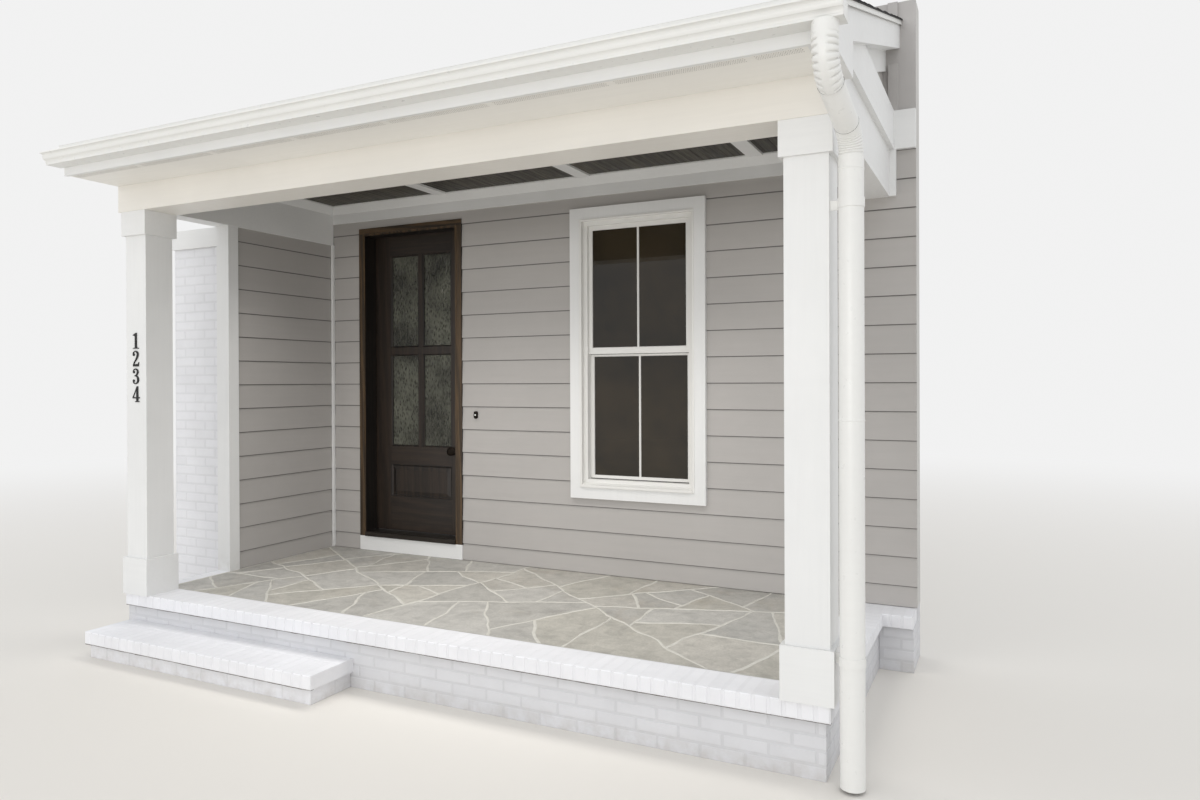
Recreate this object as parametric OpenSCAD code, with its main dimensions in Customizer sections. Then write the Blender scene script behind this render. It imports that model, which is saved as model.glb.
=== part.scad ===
// Entrance porch of a house: a painted brick platform with a flagstone floor and
// one lower step, two boxed square columns, boxed beams, a shed roof with a boxed
// eave, gutter and downspout, and the house wall behind it with its front door and
// window. Millimetres, +X along the front, +Y towards the house, +Z up. The origin
// is on the ground, midway between the columns, on the line through their centres.

/* [Platform] */
// Distance between the centres of the two columns
column_spacing = 4267; // [3600:1:5600]
// Depth from the column line to the face of the house wall
porch_depth = 1657; // [1400:1:2600]
// Height of the porch floor above the ground
floor_h = 330; // [250:1:450]
// Height of the lower step's tread above the ground
step_h = 162; // [120:1:200]
// Depth of the lower step's tread in front of the platform
step_run = 295; // [260:1:450]
// Length of the lower step
step_len = 1854; // [1200:1:3000]
// Distance of the lower step's left end from the left column's centre
step_left = 76; // [0:1:110]
// Height of the rowlock course along the edges
rowlock_h = 75; // [60:1:110]
// Width of the rowlock border at the front and right of the flagstones
border_w = 220; // [150:1:300]
// How far the rowlock course stands out over the brick below it
rowlock_over = 25; // [10:1:50]
// How far each plinth stands out over the platform's front and right edges
plinth_over = 14; // [0:1:40]

/* [Columns] */
// Height from the porch floor to the underside of the front beam
column_h = 2452; // [2100:1:2900]
// Side of a column's shaft
shaft_w = 190; // [120:1:300]
// Side of the plinths and caps
plinth_w = 228; // [200:1:340]
// Height of a plinth
plinth_h = 234; // [120:1:400]
// Height of a cap
cap_h = 154; // [80:1:260]
// Thickness of the boards of a boxed column
box_board_t = 19; // [15:1:30]

/* [Beams and ceiling] */
// How far the front beam stands out over the caps
beam_proud = 5; // [0:1:25]
// How far the front beam's back lies inside the columns' back faces
beam_inset = 3; // [0:1:25]
// Width of the left side beam
left_beam_w = 140; // [90:1:240]
// How far the beams' left face stands out past the side wall
left_beam_out = 16; // [0:1:60]
// How much higher the left side beam's underside is than the front beam's
left_beam_lift = 30; // [0:1:80]
// Height of the ceiling above the underside of the front beam
ceiling_rise = 339; // [250:1:500]
// Thickness of the ceiling boards
ceiling_t = 16; // [10:1:30]
// Height of the frieze board along the house wall, under the ceiling
frieze_h = 138; // [80:1:220]
// Thickness of the trim boards on the house wall
trim_t = 25; // [15:1:40]
// Spacing of the battens across the ceiling
batten_gap = 1219; // [600:1:1600]
// Distance of the first batten from the left column's centre
first_batten = 1143; // [400:1:1600]
// Width of the battens across the ceiling
batten_w = 100; // [50:1:140]
// Thickness of the battens across the ceiling
batten_t = 14; // [8:1:30]
// Height and width of the crown moulding round the ceiling
crown_w = 60; // [25:1:80]
// Height of the crown moulding's square edges
crown_edge = 9; // [5:1:15]
// Height of the right side beam's lower band
side_band_h = 276; // [180:1:400]
// Height of the band board above it
upper_band_h = 229; // [120:1:300]
// How far the upper band stands out over the lower one
upper_band_proud = 28; // [15:1:50]

/* [Roof] */
// Height of the front beam's face that shows under the soffit
beam_face_h = 168; // [100:1:260]
// Distance from the front beam's face to the face of the fascia
eave_over = 344; // [200:1:600]
// How far the boxed rake stands out over the right side beam
rake_over = 59; // [30:1:150]
// Width of the boxed rake
rake_w = 98; // [60:1:160]
// Rise of the roof for one unit of run
roof_pitch = 0.3333; // [0.2:0.0001:0.5]
// Height of the fascia board
fascia_h = 157; // [140:1:260]
// Thickness of the fascia and rake boards
fascia_t = 19; // [15:1:40]
// How far the fascia's lower edge hangs below the soffit
fascia_drip = 6; // [0:1:20]
// Thickness of the soffit board
soffit_t = 12; // [8:1:20]
// Thickness of the roof deck
deck_t = 16; // [12:1:30]
// Thickness of the roof covering
covering_t = 12; // [6:1:40]
// How far the covering stands out over the fascia and the rakes
covering_over = 18; // [5:1:40]
// Height of the rake's box, measured upright from its underside to the roof's top
rake_h = 175; // [120:1:260]
// Width of the frieze board under the rake
rake_frieze_h = 125; // [60:1:180]
// Thickness of the gable's panel
gable_t = 20; // [12:1:40]

/* [Gutter and downspout] */
// Width of the gutter at its top
gutter_w = 127; // [100:1:160]
// Width of the gutter's flat bottom
gutter_bottom_w = 90; // [60:1:100]
// Height of the gutter
gutter_h = 69; // [60:1:130]
// How far the gutter's lip lies below the underside of the roof deck
gutter_drop = 38; // [10:1:80]
// Thickness of the gutter's sheet
gutter_t = 2.5; // [1.5:0.1:4]
// Width of the gutter's folded lip
gutter_lip = 14; // [8:1:25]
// How far the gutter runs past the fascia's left end
gutter_past_left = 33; // [0:1:80]
// How far the gutter runs past the fascia's right end
gutter_past_right = 58; // [0:1:80]
// Outer diameter of the downspout
pipe_d = 102; // [60:1:120]
// Wall of the downspout
pipe_t = 2.5; // [1.5:0.1:4]
// Distance from the right column's centre to the downspout's centre
pipe_out = 185; // [175:1:260]
// Distance of the upright downspout in front of the column line
pipe_front = 102; // [40:1:160]
// Distance of the outlet in front of the fascia
outlet_out = 56; // [50:1:64]
// How far the outlet lies to the left of the downspout's centre
outlet_side = 22; // [0:1:40]
// Outer radius of the outlet under the gutter
outlet_r = 33; // [25:1:36]
// Length of the collar between the gutter and the first bend
outlet_h = 86; // [15:1:130]
// Angle that each elbow turns
elbow_angle = 72; // [60:1:80]
// Radius of an elbow's centre line
elbow_r = 120; // [100:1:170]
// How much smaller the elbows' radius is than the straight lengths'
elbow_crimp = 1; // [0.5:0.1:2]
// Height of the downspout's foot above the ground
pipe_foot_z = 15; // [5:1:100]
// Height of the lower strap above the porch floor
low_strap_z = 203; // [100:1:600]
// Distance of the upper strap below the columns' caps
high_strap_drop = 220; // [80:1:600]
// Height of a strap
strap_h = 40; // [20:1:60]
// Thickness of a strap
strap_t = 3; // [2:0.5:6]

/* [House wall] */
// Thickness of the house wall behind the siding
wall_t = 165; // [140:1:300]
// Thickness of the side wall behind the siding
side_wall_t = 96; // [80:1:200]
// Distance of the side wall's face to the left of the left column's centre
side_face = 5; // [0:1:60]
// Thickness of the lap siding at the bottom edge of a board
siding_t = 18; // [12:1:30]
// Height of siding that each board shows
lap_exposure = 173.5; // [100:0.5:220]
// Height of the first lap line above the porch floor
first_lap = 126; // [40:1:170]
// How far a board's top lies behind its bottom edge
lap_set = 8; // [4:1:11]
// Gap between the siding's foot and the floor
siding_gap = 3; // [0:1:20]
// Distance from the column line to the front corner of the side wall
wing_y = 640; // [300:1:1000]
// Length of the wing's front wall that is built
wing_len = 491; // [300:1:900]
// Thickness of the wing's brick wall
wing_t = 180; // [100:1:250]
// Distance of the wing's brick face behind the side wall's front corner
wing_set = 10; // [0:1:60]
// Height of the band along the top of the wing's wall
wing_band_h = 137; // [80:1:220]
// How far that band stands out over the brick
wing_band_proud = 20; // [5:1:50]
// Width of the corner board's side face
corner_side_w = 86; // [60:1:140]
// How far the corner boards stand out over the siding
corner_proud = 7; // [0:1:20]
// Side of the square trim in the inner corner
inner_trim = 20; // [10:1:40]
// Distance from the right column's centre to the wall's right end
wall_past = 267; // [250:1:400]
// Depth of the brick ledge in front of the house wall
ledge_d = 204; // [120:1:260]
// Width of the upright trim on the wall beside the side beam
beam_trim_w = 38; // [20:1:80]
// Height of the wall above the roof
wall_above = 100; // [60:1:200]

/* [Front door] */
// Distance from the left column's centre to the middle of the door
door_x = 783.5; // [700:0.5:1200]
// Width of the door leaf
leaf_w = 914; // [760:1:1060]
// Gap between the top of the door's frame and the frieze board above it
frame_below = 60; // [20:1:300]
// Thickness of the door leaf
leaf_t = 44; // [35:1:60]
// Gap at the leaf's hinge side, top and bottom
leaf_gap = 5; // [5:1:8]
// Gap at the leaf's lock side
lock_gap = 7; // [7:1:10]
// Height of the riser board under the door
riser_h = 113; // [60:1:180]
// Height of the threshold
threshold_h = 32; // [20:1:50]
// How far the threshold stands out over the riser board
threshold_nose = 12; // [0:1:40]
// Width of the frame's face round the door
frame_face = 60; // [40:1:90]
// How far the frame's face reaches past the leaf's edges
frame_over = 43; // [40:1:60]
// How far the frame's face stands out over the siding
frame_proud = 8; // [0:1:25]
// Height of the frame's top above the leaf's top
frame_top = 48; // [30:1:80]
// Thickness of the jambs
jamb_t = 30; // [20:1:45]
// How far the stop stands out from the jamb
stop_w = 13; // [8:1:20]
// Width of the leaf's stiles
stile_w = 156; // [110:1:180]
// Height of the leaf's top rail
top_rail_h = 164; // [110:1:200]
// Height of the leaf's bottom rail
bottom_rail_h = 274; // [200:1:320]
// Height of the leaf's bottom panel
panel_h = 263; // [200:1:500]
// Height of the leaf's lock rail
lock_rail_h = 144; // [110:1:200]
// Depth of the recess round the bottom panel
panel_recess = 12; // [6:1:18]
// Width of the recess round the raised field of the bottom panel
panel_margin = 45; // [20:1:80]
// Depth of the raised field behind the leaf's face
field_set = 3; // [1:1:10]
// Width of the upright bar between the door's panes
door_bar_w = 33; // [20:1:60]
// Height of the middle bar between the door's panes
door_mid_h = 50; // [20:1:80]
// Thickness of the glass in the door and window
glass_t = 6; // [4:1:20]
// Height of the lever's spindle above the porch floor
lever_z = 798; // [700:1:1100]
// Height of the deadbolt above the porch floor
deadbolt_z = 965; // [900:1:1300]
// Distance of the lock from the leaf's lock edge
backset = 72; // [60:1:80]
// Length of the lever from its spindle
lever_l = 110; // [90:1:130]
// Height of the lever's bar
lever_h = 16; // [10:1:24]
// Thickness of the lever's bar
lever_t = 14; // [8:1:20]
// Distance from the leaf's face to the lever's far side
lever_out = 55; // [45:1:65]
// Diameter of the lever's rose
rose_d = 62; // [50:1:70]
// Thickness of the lever's rose
rose_t = 9; // [5:1:14]
// Diameter of the lever's spindle
spindle_d = 20; // [12:1:26]
// Diameter of the deadbolt's rose
bolt_d = 58; // [45:1:70]
// Thickness of the deadbolt's rose
bolt_t = 16; // [8:1:24]
// Distance of the end hinges' middles from the leaf's top and bottom
hinge_end = 180; // [120:1:260]
// Length of a hinge's barrel
hinge_l = 102; // [75:1:130]
// Radius of a hinge's barrel
hinge_r = 7; // [5:1:9]
// Radius of a hinge's pin
pin_r = 3; // [2:0.1:4]
// Depth of a hinge's plate on the leaf's edge
plate_d = 36; // [25:1:42]
// Thickness of a hinge's plate
plate_t = 2; // [1:0.1:2.2]

/* [Window] */
// Distance from the left column's centre to the middle of the window
window_x = 2728.5; // [2300:0.5:3000]
// Outer width of the window's casing
casing_w = 1004; // [800:1:1200]
// Gap between the top of the window's casing and the frieze board above it
casing_below = 82; // [20:1:400]
// Height of the casing's lower edge above the porch floor
casing_z = 531; // [400:1:800]
// Width of the casing boards
casing_board = 92; // [60:1:140]
// Width of the window's frame
win_frame_w = 32; // [20:1:50]
// Height of the window's sill above the casing's opening
win_sill_h = 41; // [25:1:70]
// Distance of the window's frame behind the siding's face
win_frame_set = 5; // [0:1:40]
// Width of the sashes' stiles and rails
sash_w = 42; // [35:1:70]
// Depth of a sash
sash_t = 36; // [30:1:50]
// Depth of the upper sash's face behind the siding's face
sash_set = 30; // [15:1:60]
// How far the two meeting rails overlap in height
meet_over = 21; // [0:1:42]

/* [Doorbell] */
// Distance from the left column's centre to the doorbell
bell_x = 1408.5; // [1340:0.5:1500]
// Height of the doorbell above the porch floor
bell_z = 1103; // [900:1:1300]
// Width of the doorbell
bell_w = 30; // [20:1:50]
// Height of the doorbell
bell_h = 57; // [40:1:90]
// How far the doorbell stands out over the siding
bell_proud = 12; // [6:1:25]

/* [Hidden] */
$fn = 64;

painted_white = [0.93, 0.93, 0.92];
brick_white = [0.90, 0.90, 0.90];
siding_grey = [0.66, 0.65, 0.64];
stone_grey = [0.58, 0.57, 0.53];
wood_dark = [0.16, 0.11, 0.08];
stained = [0.20, 0.19, 0.17];
metal_dark = [0.12, 0.11, 0.10];
roof_grey = [0.22, 0.22, 0.23];
pane = [0.55, 0.62, 0.65, 0.5];

// Extra length of a cutting block past the faces that it cuts
past = 20;

// Where things are
left_x = -column_spacing / 2;
right_x = column_spacing / 2;
half_w = plinth_w / 2;
plat_x0 = left_x - half_w;
plat_x1 = right_x + half_w - plinth_over;
plat_y0 = -half_w + plinth_over;
face_y = porch_depth;
wall_y0 = face_y + siding_t;
wall_y1 = wall_y0 + wall_t;
trim_y0 = face_y - trim_t;
side_x = left_x - side_face;
side_in = side_x - siding_t;
side_x0 = side_in - side_wall_t;
wall_x1 = right_x + wall_past;
siding_z0 = floor_h + siding_gap;

// Beams and ceiling
beam_z = floor_h + column_h;
ceiling_z = beam_z + ceiling_rise;
ceiling_top = ceiling_z + ceiling_t;
beam_y0 = -half_w - beam_proud;
beam_y1 = half_w - beam_inset;
beam_x0 = side_x0 - left_beam_out;
beam_x1 = right_x + half_w + beam_proud;
left_beam_z = beam_z + left_beam_lift;
left_beam_x1 = beam_x0 + left_beam_w;
right_beam_x0 = right_x - half_w;
band_z0 = beam_z + side_band_h;
band_z1 = band_z0 + upper_band_h;
band_x1 = beam_x1 + upper_band_proud;
frieze_z0 = ceiling_z - frieze_h;
frieze_y0 = wall_y0 - trim_t;

// Roof
soffit_z = beam_z + beam_face_h;
fascia_y = beam_y0 - eave_over;
fascia_back = fascia_y + fascia_t;
fascia_z = soffit_z - fascia_drip;
deck_z0 = fascia_z + fascia_h;
rake_x1 = beam_x1 + rake_over;
rake_x0 = rake_x1 - rake_w;
gable_x0 = rake_x0 - gable_t;

// Play between the roof's sloping sheets and what they lie on
slope_gap = 0.2;

// Height of the roof deck's underside at a distance y from the column line
function deck_under(y) = deck_z0 + (y - fascia_y) * roof_pitch;
// Height of the roof's top
function roof_top(y) = deck_under(y) + deck_t + covering_t;
// Height of the rake box's underside
function rake_under(y) = roof_top(y) - rake_h;

wall_top = roof_top(face_y) + wall_above;
band_cut_y = (band_z1 - rake_under(0)) / roof_pitch;
frieze_low_y = (band_z1 + rake_frieze_h - rake_under(0)) / roof_pitch;

// Platform parts
brick_z1 = floor_h - rowlock_h;
border_x1 = plat_x1 - border_w;
border_y1 = plat_y0 + border_w;
base_x1 = plat_x1 - rowlock_over;
base_y0 = plat_y0 + rowlock_over;
ledge_y0 = face_y - ledge_d;
step_x0 = left_x - step_left;
step_x1 = step_x0 + step_len;
step_y0 = plat_y0 - step_run;

// Gutter and downspout places
gutter_z1 = deck_z0 - gutter_drop;
gutter_z0 = gutter_z1 - gutter_h;
gutter_x0 = beam_x0 - gutter_past_left;
gutter_x1 = rake_x1 + gutter_past_right;
gutter_belly = gutter_w - gutter_bottom_w;
pipe_x = right_x + pipe_out;
pipe_y = -pipe_front;
pipe_r = pipe_d / 2;
outlet_y = fascia_y - outlet_out;
elbow_z1 = gutter_z0 - outlet_h;
elbow_drop = elbow_r * sin(elbow_angle);
elbow_back = elbow_r * (1 - cos(elbow_angle));
outlet_x = pipe_x - outlet_side;
elbow_run = sqrt(pow(pipe_y - outlet_y, 2) + pow(outlet_side, 2));
elbow_swing = -atan(outlet_side / (pipe_y - outlet_y));
slant_len = (elbow_run - 2 * elbow_back) / sin(elbow_angle);
upright_z1 = elbow_z1 - 2 * elbow_drop - slant_len * cos(elbow_angle);

// Door places
door_cx = left_x + door_x;
leaf_x0 = door_cx - leaf_w / 2;
leaf_x1 = door_cx + leaf_w / 2;
sill_z = floor_h + riser_h;
tread_z = sill_z + threshold_h;
leaf_z0 = tread_z + leaf_gap;
frame_z1 = frieze_z0 - frame_below;
leaf_z1 = frame_z1 - frame_top;
leaf_h = leaf_z1 - leaf_z0;
leaf_y1 = wall_y1;
leaf_y0 = leaf_y1 - leaf_t;
stop_y1 = leaf_y0 - leaf_gap;
jamb_in0 = leaf_x0 - leaf_gap;
jamb_in1 = leaf_x1 + lock_gap;
jamb_x0 = jamb_in0 - jamb_t;
jamb_x1 = jamb_in1 + jamb_t;
jamb_z1 = leaf_z1 + leaf_gap + jamb_t;
frame_x0 = leaf_x0 - frame_over;
frame_x1 = leaf_x1 + frame_over;
frame_y0 = face_y - frame_proud;
pivot_x = leaf_x0 - leaf_gap / 2;
pivot_y = leaf_y1 + hinge_r;
hinge_z = [for (k = [0 : 3]) leaf_z0 + hinge_end + k * (leaf_h - 2 * hinge_end) / 3];
knuckle_h = hinge_l / 3;
knuckle_gap = 0.5;
glass_x0 = leaf_x0 + stile_w;
glass_x1 = leaf_x1 - stile_w;
panel_z0 = leaf_z0 + bottom_rail_h;
panel_z1 = panel_z0 + panel_h;
glass_z0 = panel_z1 + lock_rail_h;
glass_z1 = leaf_z1 - top_rail_h;
pane_w = (glass_x1 - glass_x0 - door_bar_w) / 2;
pane_h = (glass_z1 - glass_z0 - door_mid_h) / 2;
lock_x = leaf_x1 - backset;

// Window places
win_cx = left_x + window_x;
win_z0 = floor_h + casing_z;
casing_h = frieze_z0 - casing_below - win_z0;
win_w = casing_w - 2 * casing_board;
win_h = casing_h - 2 * casing_board;
win_x0 = win_cx - win_w / 2;
win_x1 = win_x0 + win_w;
win_oz0 = win_z0 + casing_board;
win_oz1 = win_oz0 + win_h;
win_y0 = face_y + win_frame_set;
sash_x0 = win_x0 + win_frame_w;
sash_x1 = win_x1 - win_frame_w;
sash_z0 = win_oz0 + win_sill_h;
sash_z1 = win_oz1 - win_frame_w;
sash_h = (sash_z1 - sash_z0 + meet_over) / 2;
upper_y0 = face_y + sash_set;
lower_y0 = upper_y0 + sash_t;

// A block between two corners
module block(a, b) {
    translate(a)
        cube(b - a);
}

// An outline drawn in Y and Z, pushed along X from x0 to x1
module along_x(x0, x1) {
    translate([x0, 0, 0])
        rotate([90, 0, 90])
            linear_extrude(x1 - x0)
                children();
}

// An outline drawn in X and Z, pushed along Y from y0 to y1
module along_y(y0, y1) {
    translate([0, y1, 0])
        rotate([90, 0, 0])
            linear_extrude(y1 - y0)
                children();
}

// Platform and step

module platform_base() color(brick_white)
    linear_extrude(brick_z1)
        polygon([[plat_x0, base_y0], [base_x1, base_y0], [base_x1, wall_y0],
                 [side_x, wall_y0], [side_x, wing_y], [plat_x0, wing_y]]);

module rowlock_border() color(brick_white)
    translate([0, 0, brick_z1])
        linear_extrude(rowlock_h)
            polygon([[plat_x0, plat_y0], [plat_x1, plat_y0], [plat_x1, ledge_y0],
                     [wall_x1, ledge_y0], [wall_x1, wall_y0], [border_x1, wall_y0],
                     [border_x1, border_y1], [side_x, border_y1], [side_x, wing_y],
                     [plat_x0, wing_y]]);

module flagstone_floor() color(stone_grey)
    block([side_x, border_y1, brick_z1], [border_x1, wall_y0, floor_h]);

module lower_step_base() color(brick_white)
    block([step_x0 + rowlock_over, step_y0 + rowlock_over, 0],
          [step_x1 - rowlock_over, base_y0, step_h - rowlock_h]);

module lower_step_tread() color(brick_white)
    block([step_x0, step_y0, step_h - rowlock_h], [step_x1, base_y0, step_h]);

module foundation_wall() color(brick_white) {
    block([side_x0, wing_y, 0], [side_x, wall_y0, floor_h]);
    block([side_x0, wall_y0, 0], [wall_x1, wall_y1, floor_h]);
    block([base_x1, ledge_y0 + rowlock_over, 0], [wall_x1, wall_y0, brick_z1]);
}

// Columns

module shaft(x)
    difference() {
        block([x - shaft_w / 2, -shaft_w / 2, floor_h], [x + shaft_w / 2, shaft_w / 2, beam_z]);
        block([x - shaft_w / 2 + box_board_t, -shaft_w / 2 + box_board_t, floor_h - past],
              [x + shaft_w / 2 - box_board_t, shaft_w / 2 - box_board_t, beam_z + past]);
    }

module collar_box(x, z0, z1)
    difference() {
        block([x - half_w, -half_w, z0], [x + half_w, half_w, z1]);
        block([x - shaft_w / 2, -shaft_w / 2, z0 - past], [x + shaft_w / 2, shaft_w / 2, z1 + past]);
    }

module left_column() color(painted_white) shaft(left_x);
module right_column() color(painted_white) shaft(right_x);

module column_plinths() color(painted_white)
    for (x = [left_x, right_x])
        collar_box(x, floor_h, floor_h + plinth_h);

module column_caps() color(painted_white)
    for (x = [left_x, right_x])
        collar_box(x, beam_z - cap_h, beam_z);

// Beams

module front_beam() color(painted_white)
    along_x(beam_x0, beam_x1)
        polygon([[beam_y0, beam_z], [beam_y1, beam_z], [beam_y1, deck_under(beam_y1)],
                 [beam_y0, deck_under(beam_y0)]]);

// The space that the front beam's right end takes up
module beam_end()
    block([rake_x0 - past, beam_y0, beam_z], [beam_x1, beam_y1, wall_top]);

module left_side_beam() color(painted_white)
    block([beam_x0, beam_y1, left_beam_z], [left_beam_x1, wing_y, ceiling_top]);

module right_side_beam() color(painted_white)
    along_y(beam_y1, wall_y0)
        polygon([[right_beam_x0, beam_z], [beam_x1, beam_z], [beam_x1, band_z0],
                 [gable_x0, band_z0], [gable_x0, ceiling_top], [right_beam_x0, ceiling_top]]);

module upper_band() color(painted_white)
    difference() {
        along_x(rake_x0, band_x1)
            polygon([[0, band_z0], [face_y, band_z0], [face_y, band_z1],
                     [band_cut_y, band_z1], [0, rake_under(0)]]);
        beam_end();
    }

// Roof

module eave_soffit() color(painted_white)
    block([beam_x0, fascia_back, soffit_z], [rake_x0, beam_y0, soffit_z + soffit_t]);

module fascia() color(painted_white)
    block([beam_x0, fascia_y, fascia_z], [rake_x1, fascia_back, deck_z0]);

// A sheet on the roof's slope, from y0 to the house, between two heights over the rafters
module roof_sheet(x0, x1, y0, low, high)
    along_x(x0, x1)
        polygon([[y0, deck_under(y0) + low], [face_y, deck_under(face_y) + low],
                 [face_y, deck_under(face_y) + high], [y0, deck_under(y0) + high]]);

module roof_deck() color(wood_dark)
    roof_sheet(beam_x0, rake_x1, fascia_y, slope_gap, deck_t);

module roof_covering() color(roof_grey)
    roof_sheet(beam_x0 - covering_over, rake_x1 + covering_over, fascia_y - covering_over,
               deck_t + slope_gap, deck_t + covering_t);

module right_rake() color(painted_white)
    difference() {
        along_x(rake_x0, rake_x1)
            polygon([[fascia_back, soffit_z], [0, soffit_z], [0, rake_under(0)],
                     [face_y, rake_under(face_y)], [face_y, deck_under(face_y)],
                     [fascia_back, deck_under(fascia_back)]]);
        beam_end();
    }

module rake_frieze() color(painted_white)
    along_x(rake_x0, rake_x0 + fascia_t)
        polygon([[band_cut_y, band_z1], [frieze_low_y, band_z1],
                 [face_y, rake_under(face_y) - rake_frieze_h], [face_y, rake_under(face_y)]]);

module right_gable() color(siding_grey)
    along_x(gable_x0, rake_x0)
        polygon([[beam_y1, band_z0], [face_y, band_z0], [face_y, deck_under(face_y)],
                 [beam_y1, deck_under(beam_y1)]]);

module left_gable() color(siding_grey) {
    along_x(beam_x0, beam_x0 + gable_t)
        polygon([[beam_y1, ceiling_top], [face_y, ceiling_top],
                 [face_y, deck_under(face_y)], [beam_y1, deck_under(beam_y1)]]);
    along_x(beam_x0, beam_x0 + gable_t)
        polygon([[fascia_back, soffit_z + soffit_t], [beam_y0, soffit_z + soffit_t],
                 [beam_y0, deck_under(beam_y0)], [fascia_back, deck_under(fascia_back)]]);
}

// Gutter and downspout

// The gutter's curved front, a hollow curve and a round one, from its foot to its lip
gutter_front = [for (k = [0 : 12])
    [-gutter_bottom_w - gutter_belly * (1 - cos(k * 15)) / 2, gutter_h * (0.15 + 0.05 * k)]];

module gutter() color(painted_white)
    difference() {
        translate([0, fascia_y, gutter_z0])
            difference() {
                along_x(gutter_x0, gutter_x1)
                    polygon(concat([[0, 0], [-gutter_bottom_w, 0]], gutter_front,
                                   [[-gutter_w, gutter_h], [0, gutter_h]]));
                along_x(gutter_x0 + gutter_t, gutter_x1 - gutter_t)
                    polygon(concat([[-gutter_t, gutter_t], [-gutter_bottom_w + gutter_t, gutter_t]],
                                   [for (p = gutter_front) [p[0] + gutter_t, p[1] + gutter_t]],
                                   [[-gutter_w + gutter_t, gutter_h - gutter_t],
                                    [-gutter_w + gutter_lip, gutter_h - gutter_t],
                                    [-gutter_w + gutter_lip, gutter_h + past],
                                    [-gutter_t, gutter_h + past]]));
            }
        translate([outlet_x, outlet_y, gutter_z0 - past])
            cylinder(r = outlet_r - pipe_t, h = past + 3 * gutter_t);
    }

module ring(r0, r1)
    difference() {
        circle(r1);
        circle(r0);
    }

module downspout() color(painted_white)
    translate([pipe_x, pipe_y, pipe_foot_z])
        pipe(pipe_r, upright_z1 - pipe_foot_z);

// A hollow bend in the plane of Y and Z, starting level with its centre, going up.
// Its ends are crimped, so that they enter the straight lengths
module bend()
    rotate([90, 0, 90])
        rotate_extrude(angle = elbow_angle)
            translate([elbow_r, 0])
                ring(pipe_r - elbow_crimp - pipe_t, pipe_r - elbow_crimp);

// A hollow straight length, of the given outer radius and wall
module pipe(r, len)
    linear_extrude(len)
        ring(r - pipe_t, r);

// The outlet and collar under the gutter, the first bend, the slanting length and the
// second bend, turned a little about the downspout's axis
module downspout_elbows() color(painted_white)
    translate([pipe_x, pipe_y, 0])
        rotate([0, 0, elbow_swing]) {
            translate([0, -elbow_run, gutter_z0 - pipe_t])
                linear_extrude(pipe_t)
                    ring(outlet_r - pipe_t, pipe_r);
            translate([0, -elbow_run, elbow_z1]) {
                pipe(outlet_r, outlet_h - pipe_t);
                pipe(pipe_r, outlet_h - pipe_t);
            }
            translate([0, elbow_r - elbow_run, elbow_z1])
                rotate([180, 0, 0])
                    bend();
            translate([0, elbow_back - elbow_run, elbow_z1 - elbow_drop])
                rotate([elbow_angle - 180, 0, 0])
                    pipe(pipe_r, slant_len);
            translate([0, -elbow_r, upright_z1])
                bend();
        }

// A strap round the downspout with a tie to the column
module strap(z, tie_x)
    translate([pipe_x, pipe_y, z - strap_h / 2])
        linear_extrude(strap_h)
            difference() {
                union() {
                    circle(pipe_r + strap_t);
                    translate([tie_x - pipe_x, strap_h / 2])
                        square([pipe_x - tie_x, 3 * strap_t]);
                }
                circle(pipe_r);
            }

module downspout_straps() color(painted_white) {
    strap(floor_h + low_strap_z, right_x + half_w);
    strap(beam_z - cap_h - high_strap_drop, right_x + shaft_w / 2);
}

// Ceiling

module ceiling_boards() color(stained)
    block([left_beam_x1, beam_y1, ceiling_z], [right_beam_x0, wall_y0, ceiling_top]);

module batten_blocks()
    for (k = [0 : 2])
        block([left_x + first_batten + k * batten_gap - batten_w / 2, beam_y1, ceiling_z - batten_t],
              [left_x + first_batten + k * batten_gap + batten_w / 2, frieze_y0, ceiling_z]);

module ceiling_battens() color(painted_white) batten_blocks();

module ceiling_frieze() color(painted_white) {
    block([side_in, frieze_y0, frieze_z0], [right_beam_x0, wall_y0, ceiling_z]);
    block([side_in, wing_y, left_beam_z], [left_beam_x1, face_y, ceiling_top]);
}

// The crown moulding's outline, from a corner at (a, ceiling), reaching out by s
module crown_outline(a, s)
    polygon([[a, ceiling_z], [a + s * crown_w, ceiling_z], [a + s * crown_w, ceiling_z - crown_edge],
             [a + s * crown_edge, ceiling_z - crown_w], [a, ceiling_z - crown_w]]);

module ceiling_crown() color(painted_white)
    difference() {
        union() {
            along_x(left_beam_x1, right_beam_x0)
                crown_outline(beam_y1, 1);
            along_x(left_beam_x1, right_beam_x0)
                crown_outline(frieze_y0, -1);
            along_y(beam_y1, frieze_y0)
                crown_outline(left_beam_x1, 1);
            along_y(beam_y1, frieze_y0)
                crown_outline(right_beam_x0, -1);
        }
        batten_blocks();
    }

// House wall

module wall_block(x0, x1, z0, z1)
    block([x0, wall_y0, z0], [x1, wall_y1, z1]);

module window_hole(y0, y1)
    block([win_x0, y0, win_oz0], [win_x1, y1, win_oz1]);

module casing_block(y0, y1)
    block([win_cx - casing_w / 2, y0, win_z0], [win_cx + casing_w / 2, y1, win_z0 + casing_h]);

module wall_left_of_door() color(siding_grey) wall_block(side_x0, jamb_x0, floor_h, wall_top);
module wall_over_door() color(siding_grey) wall_block(jamb_x0, jamb_x1, jamb_z1, wall_top);
module wall_right_of_door() color(siding_grey)
    difference() {
        wall_block(jamb_x1, wall_x1, floor_h, wall_top);
        window_hole(wall_y0 - past, wall_y1 + past);
    }

// Height of a lap line; line 0 is the siding's foot
function lap_line(k) = k == 0 ? siding_z0 : floor_h + first_lap + (k - 1) * lap_exposure;

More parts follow.
